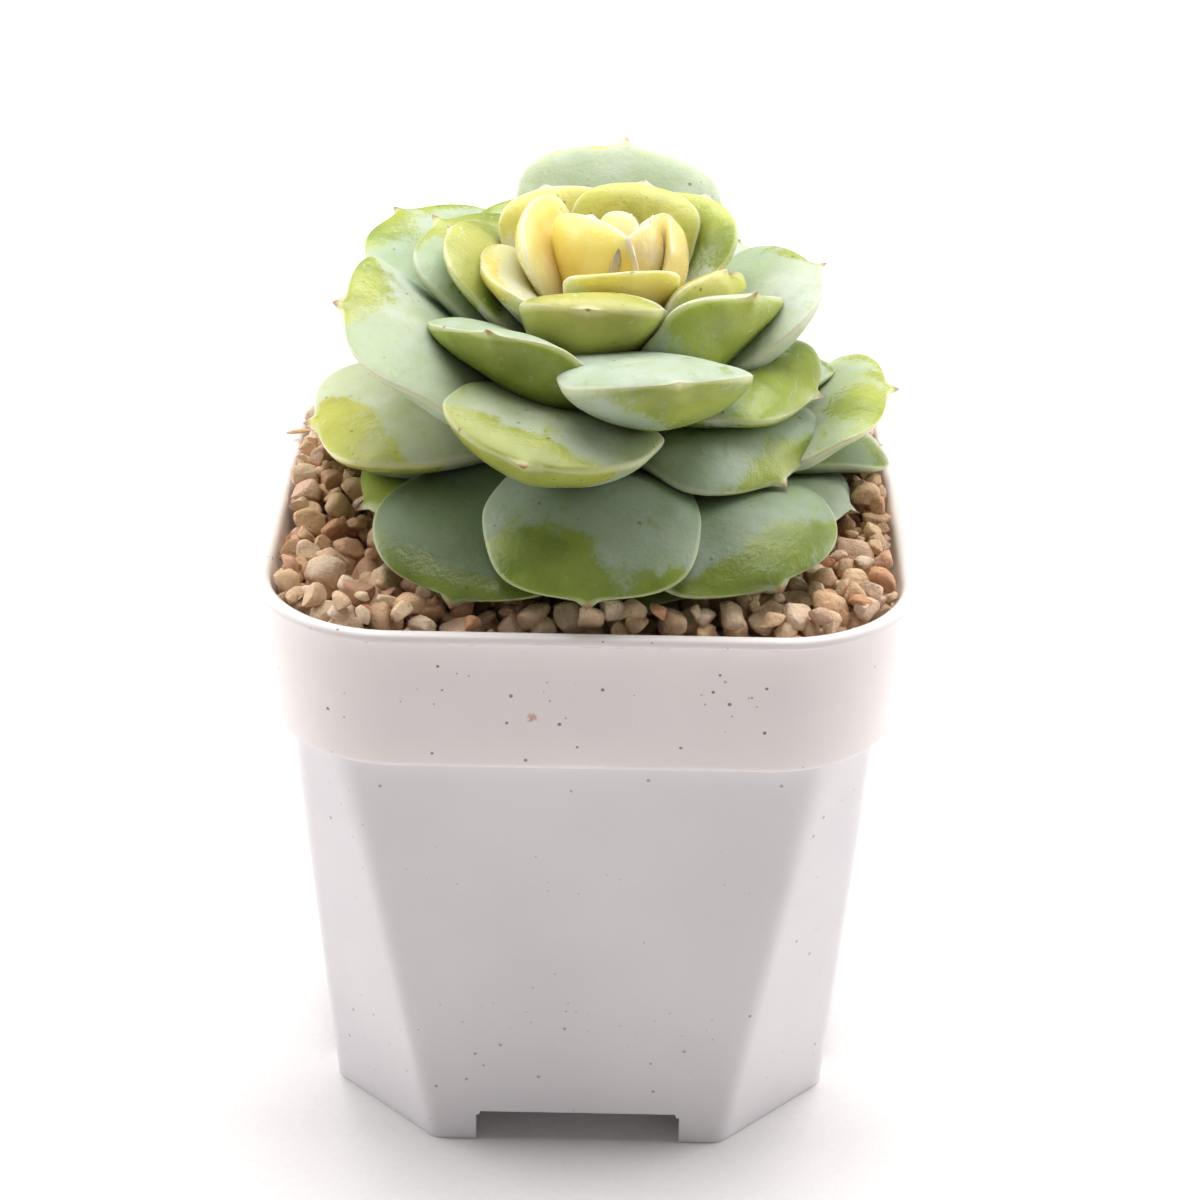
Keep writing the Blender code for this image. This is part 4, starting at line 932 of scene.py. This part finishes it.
# ================================================================ gravel
def grain_shapes(count, rng):
    """count faceted grains of unit size: a ball cut back by random planes."""
    bm = bmesh.new()
    bmesh.ops.create_icosphere(bm, subdivisions=3, radius=1.0)
    base = np.array([v.co[:] for v in bm.verts])
    faces = np.array([[v.index for v in f.verts] for f in bm.faces])
    edges = np.array([[e.verts[0].index, e.verts[1].index] for e in bm.edges])
    bm.free()
    degree = np.bincount(edges.ravel(), minlength=len(base))[:, None]
    out = []
    for _ in range(count):
        p = base * (1 + 0.10 * wave(base, 2.2, rng.randint(1 << 30)))[:, None]
        p = p * np.array([rng.uniform(1.0, 1.6), rng.uniform(0.78, 1.1), rng.uniform(0.6, 0.92)])
        for _ in range(rng.randint(7, 12)):
            d = rng.normal(size=3)
            d /= np.linalg.norm(d)
            reach = (p @ d).max()
            cut = reach * rng.uniform(0.46, 0.82)
            over = np.maximum(p @ d - cut, 0)
            p = p - over[:, None] * d * 0.96
        for _ in range(1):
            acc = np.zeros_like(p)
            np.add.at(acc, edges[:, 0], p[edges[:, 1]])
            np.add.at(acc, edges[:, 1], p[edges[:, 0]])
            p = 0.78 * p + 0.22 * acc / degree
        p = p * (1 + 0.035 * wave(base, 7.0, rng.randint(1 << 30))
                 + 0.015 * wave(base, 16.0, rng.randint(1 << 30)))[:, None]
        p -= p.mean(0)
        out.append(p / np.sqrt((p ** 2).sum(1)).max())
    return out, faces


def random_turn(rng, tilt):
    a = rng.uniform(0, 2 * np.pi)
    z = Matrix.Rotation(a, 3, 'Z')
    axis = Vector((math.cos(rng.uniform(0, 6.28)), math.sin(rng.uniform(0, 6.28)), 0)).normalized()
    return np.array(Matrix.Rotation(rng.uniform(-tilt, tilt), 3, axis) @ z)


def inside_rim(x, y, margin):
    half, radius = LIP_HALF - 2.0 - margin, 13.4 - margin
    ax, ay = np.abs(x), np.abs(y)
    c = half - radius
    corner = (ax > c) & (ay > c)
    ok = (ax <= half) & (ay <= half)
    return ok & (~corner | ((ax - c) ** 2 + (ay - c) ** 2 <= radius ** 2))


def heap(x, y):
    """Level that the top of the bed reaches, in mm."""
    level = 69.9 + 0.5 * math.sin(0.21 * x + 0.7) * math.cos(0.17 * y - 0.3)
    level += 1.8 * math.exp(-((x + 29) ** 2 + (y - 22) ** 2) / 90.0)
    level += 1.2 * math.exp(-((x + 27) ** 2 + (y - 4) ** 2) / 80.0)
    level += 0.9 * math.exp(-((x - 29) ** 2 + (y - 10) ** 2) / 120.0)
    r = math.hypot(x - STEM_X, y - STEM_Y)
    return level - 2.0 * math.exp(-(r / 15.0) ** 2)


def lay_gravel(leaf_tree, mat):
    rng = np.random.RandomState(8061)
    shapes, faces = grain_shapes(60, rng)
    cell = 0.5
    size = int(76 / cell)
    ground = np.full((size, size), SOIL_TOP - 0.2)
    gx = (np.arange(size) + 0.5) * cell - 38
    X, Y = np.meshgrid(gx, gx, indexing='ij')
    placed = []
    fails = 0
    for attempt in range(9000):
        if fails > 900:
            break
        radius = float(np.clip(rng.normal(1.60, 0.42), 0.8, 2.6))
        best = None
        for _ in range(9):
            x, y = rng.uniform(-33.5, 33.5, 2)
            if not inside_rim(x, y, radius * 0.72):
                continue
            if math.hypot(x - STEM_X, y - STEM_Y) < 5.4 + radius:
                continue
            i0, j0 = int((x + 38) / cell), int((y + 38) / cell)
            k = int(radius / cell) + 1
            sl = (slice(i0 - k, i0 + k + 1), slice(j0 - k, j0 + k + 1))
            d2 = (X[sl] - x) ** 2 + (Y[sl] - y) ** 2
            near = d2 < (radius * 0.8) ** 2
            under = np.sqrt(np.maximum(radius ** 2 - d2, 0))
            z = float((ground[sl] - 0.70 * under)[near].max()) + 0.70 * radius * 0.72 + radius * 0.10
            if best is None or z < best[2]:
                best = (x, y, z, sl)
        if best is None:
            fails += 1
            continue
        x, y, z, sl = best
        if z + radius * 0.45 > heap(x, y):
            fails += 1
            ground[sl] = np.maximum(ground[sl], np.where((X[sl] - x) ** 2 + (Y[sl] - y) ** 2
                                                         < (0.5 * radius) ** 2, z, -1e9))
            continue
        hit = leaf_tree.find_nearest(Vector((x, y, z)), radius * 1.1)
        if hit[0] is not None and hit[3] < radius * 0.80:
            fails += 1
            ground[sl] = np.maximum(ground[sl], np.where((X[sl] - x) ** 2 + (Y[sl] - y) ** 2
                                                         < (0.6 * radius) ** 2, z + 0.4 * radius, -1e9))
            continue
        fails = 0
        d2 = (X[sl] - x) ** 2 + (Y[sl] - y) ** 2
        top = z + np.sqrt(np.maximum((radius * 0.8) ** 2 - d2 * 0.8, 0)) * 0.85
        ground[sl] = np.where(d2 < (radius * 0.9) ** 2, np.maximum(ground[sl], top), ground[sl])
        placed.append((x, y, z, radius))
    # one long thin grain perched against the rim is added below; the extra rim grains listed here are not placed
    extra = [(-33.9, 17.5, 68.6, 1.5, (1.0, 1.0, 1.0)), (-31.0, 25.5, 69.4, 1.7, (1.0, 1.0, 1.0)),
             (-28.8, 28.6, 69.0, 1.6, (1.0, 1.0, 1.0))]
    verts, tris, tint, tone, count = [], [], [], [], 0
    parts = []
    for index, (x, y, z, radius) in enumerate(placed):
        p = shapes[rng.randint(len(shapes))] * radius * 1.12
        p = p @ random_turn(rng, 0.9).T + np.array([x, y, z])
        # keep every grain within the rim
        r = np.hypot(p[:, 0], p[:, 1])
        limit = polar_square(np.arctan2(p[:, 1], p[:, 0]), LIP_HALF - 1.95, 13.2)
        shrink = np.minimum(1.0, limit / np.maximum(r, 1e-6))
        low = p[:, 2] < POT_HEIGHT - 0.1
        p[:, 0] = np.where(low, p[:, 0] * shrink, p[:, 0])
        p[:, 1] = np.where(low, p[:, 1] * shrink, p[:, 1])
        a, b = rng.uniform(0, 1), rng.uniform(0, 1) ** 2
        parts.append((p, a, b))
    stick = shapes[3] * np.array([2.1, 0.55, 0.5])
    stick = stick @ np.array(Matrix.Rotation(math.radians(18), 3, 'Z')).T + np.array([-33.7, 13.5, 68.9])
    parts.append((stick, 0.5, 0.2))
    per = 150
    pieces = []
    n_verts = len(shapes[0])
    for start in range(0, len(parts), per):
        chunk = parts[start:start + per]
        mesh = bpy.data.meshes.new("clay_grains_%02d" % (start // per + 1))
        co = np.concatenate([p for p, _, _ in chunk]) * MM
        tri = np.concatenate([faces + i * n_verts for i in range(len(chunk))])
        mesh.vertices.add(len(co))
        mesh.vertices.foreach_set("co", co.astype(np.float32).ravel())
        mesh.loops.add(tri.size)
        mesh.loops.foreach_set("vertex_index", tri.astype(np.int32).ravel())
        mesh.polygons.add(len(tri))
        mesh.polygons.foreach_set("loop_start", np.arange(0, tri.size, 3, dtype=np.int32))
        mesh.polygons.foreach_set("loop_total", np.full(len(tri), 3, dtype=np.int32))
        mesh.update(calc_edges=True)
        mesh.validate()
        mesh.shade_smooth()
        put_attribute(mesh, "grain_tint", np.repeat([a for _, a, _ in chunk], n_verts))
        put_attribute(mesh, "grain_tone", np.repeat([b for _, _, b in chunk], n_verts))
        mesh.materials.append(mat)
        ob = bpy.data.objects.new(mesh.name, mesh)
        bpy.context.scene.collection.objects.link(ob)
        pieces.append(ob)
    print("grains:", len(parts), "pieces:", len(pieces))
    return pieces


# ================================================================= build
def style_of(number, group):
    style = dict(STYLE_DEFAULT[group])
    style.update(STYLE.get(number, {}))
    style["group"] = group
    return style


scene = bpy.context.scene
coarse = [Leaf(row, 8, 10) for row in LEAVES]
settle(coarse, 16)
tree_pts, tree_tris = [], []
for number, leaf in enumerate(coarse, 1):
    style = style_of(number, leaf.group)
    mesh = fine_leaf(number, leaf, style)
    mesh.materials.append(leaf_material(number, style))
    ob = bpy.data.objects.new("rosette_leaf_%02d" % number, mesh)
    scene.collection.objects.link(ob)
    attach(ob, "root")
    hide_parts("leaf_%02d" % number)
    base = len(tree_pts)
    tree_pts += [v.co / MM for v in mesh.vertices]
    tree_tris += [tuple(base + i for i in p.vertices) for p in mesh.polygons]
leaf_tree = BVHTree.FromPolygons(tree_pts, tree_tris)

pot = build_pot_looks(pot_material())
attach(pot, "root")
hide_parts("pot")

grains = lay_gravel(leaf_tree, grain_material())
for ob in grains:
    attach(ob, "root")
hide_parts("gravel_top_dressing")

for name, mat in (("potting_soil", soil_material()), ("stem", stem_material())):
    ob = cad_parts[name]
    ob.data.materials.clear()
    ob.data.materials.append(mat)

# ================================================================= stage
bpy.ops.mesh.primitive_plane_add(size=6.0, location=(0, 0, 0))
floor = bpy.context.object
floor.name = "floor"
fm = Nodes("floor_paper")
fine = fm.noise(1200, 3.0, 0.6)
fm.set(Base_Color=fm.mix(fm.step(fine, 0.3, 0.7), srgb(243, 240, 239), srgb(246, 243, 242)),
       Roughness=0.9, Specular_IOR_Level=0.2, Normal=fm.bump(fine, 0.00003, 0.5))
floor.data.materials.append(fm.mat)

world = bpy.data.worlds.new("studio")
scene.world = world
world.use_nodes = True
world.node_tree.nodes["Background"].inputs["Color"].default_value = (1.0, 0.985, 0.98, 1.0)
world.node_tree.nodes["Background"].inputs["Strength"].default_value = 0.19


def area(name, location, target, size, power, colour=(1, 1, 1), shape_y=None):
    light = bpy.data.lights.new(name, 'AREA')
    light.energy = power
    light.color = colour
    light.size = size
    if shape_y:
        light.shape = 'RECTANGLE'
        light.size_y = shape_y
    ob = bpy.data.objects.new(name, light)
    ob.location = location
    ob.rotation_euler = (Vector(target) - Vector(location)).to_track_quat('-Z', 'Y').to_euler()
    scene.collection.objects.link(ob)
    return ob


area("overhead", (0.02, 0.26, 0.78), (0, 0, 0.04), 0.85, 10.5, (1.0, 0.99, 0.985))
area("left_side", (-0.75, 0.18, 0.32), (0, 0, 0.05), 0.6, 4.1)
area("right_side", (0.75, 0.18, 0.32), (0, 0, 0.05), 0.6, 4.1)
area("front_fill", (0.1, -0.9, 0.65), (0, 0, 0.06), 0.6, 0.05)

az, el, roll = math.radians(0.2), math.radians(27.0), math.radians(0.98)
back = Vector((math.sin(az) * math.cos(el), -math.cos(az) * math.cos(el), math.sin(el)))
right = Vector((math.cos(az), math.sin(az), 0.0))
up = back.cross(right)
r2 = math.cos(roll) * right + math.sin(roll) * up
u2 = -math.sin(roll) * right + math.cos(roll) * up
place = Vector((0.00144, 0.0, 0.05463)) + back * 0.341
cam = bpy.data.cameras.new("camera")
cam.sensor_width = 36.0
cam.lens = 90.0
cam.clip_start = 0.01
cam_ob = bpy.data.objects.new("camera", cam)
cam_ob.matrix_world = Matrix(((r2.x, u2.x, back.x, place.x), (r2.y, u2.y, back.y, place.y),
                              (r2.z, u2.z, back.z, place.z), (0, 0, 0, 1)))
scene.collection.objects.link(cam_ob)
scene.camera = cam_ob
scene.view_settings.view_transform = 'Standard'
scene.view_settings.look = 'None'
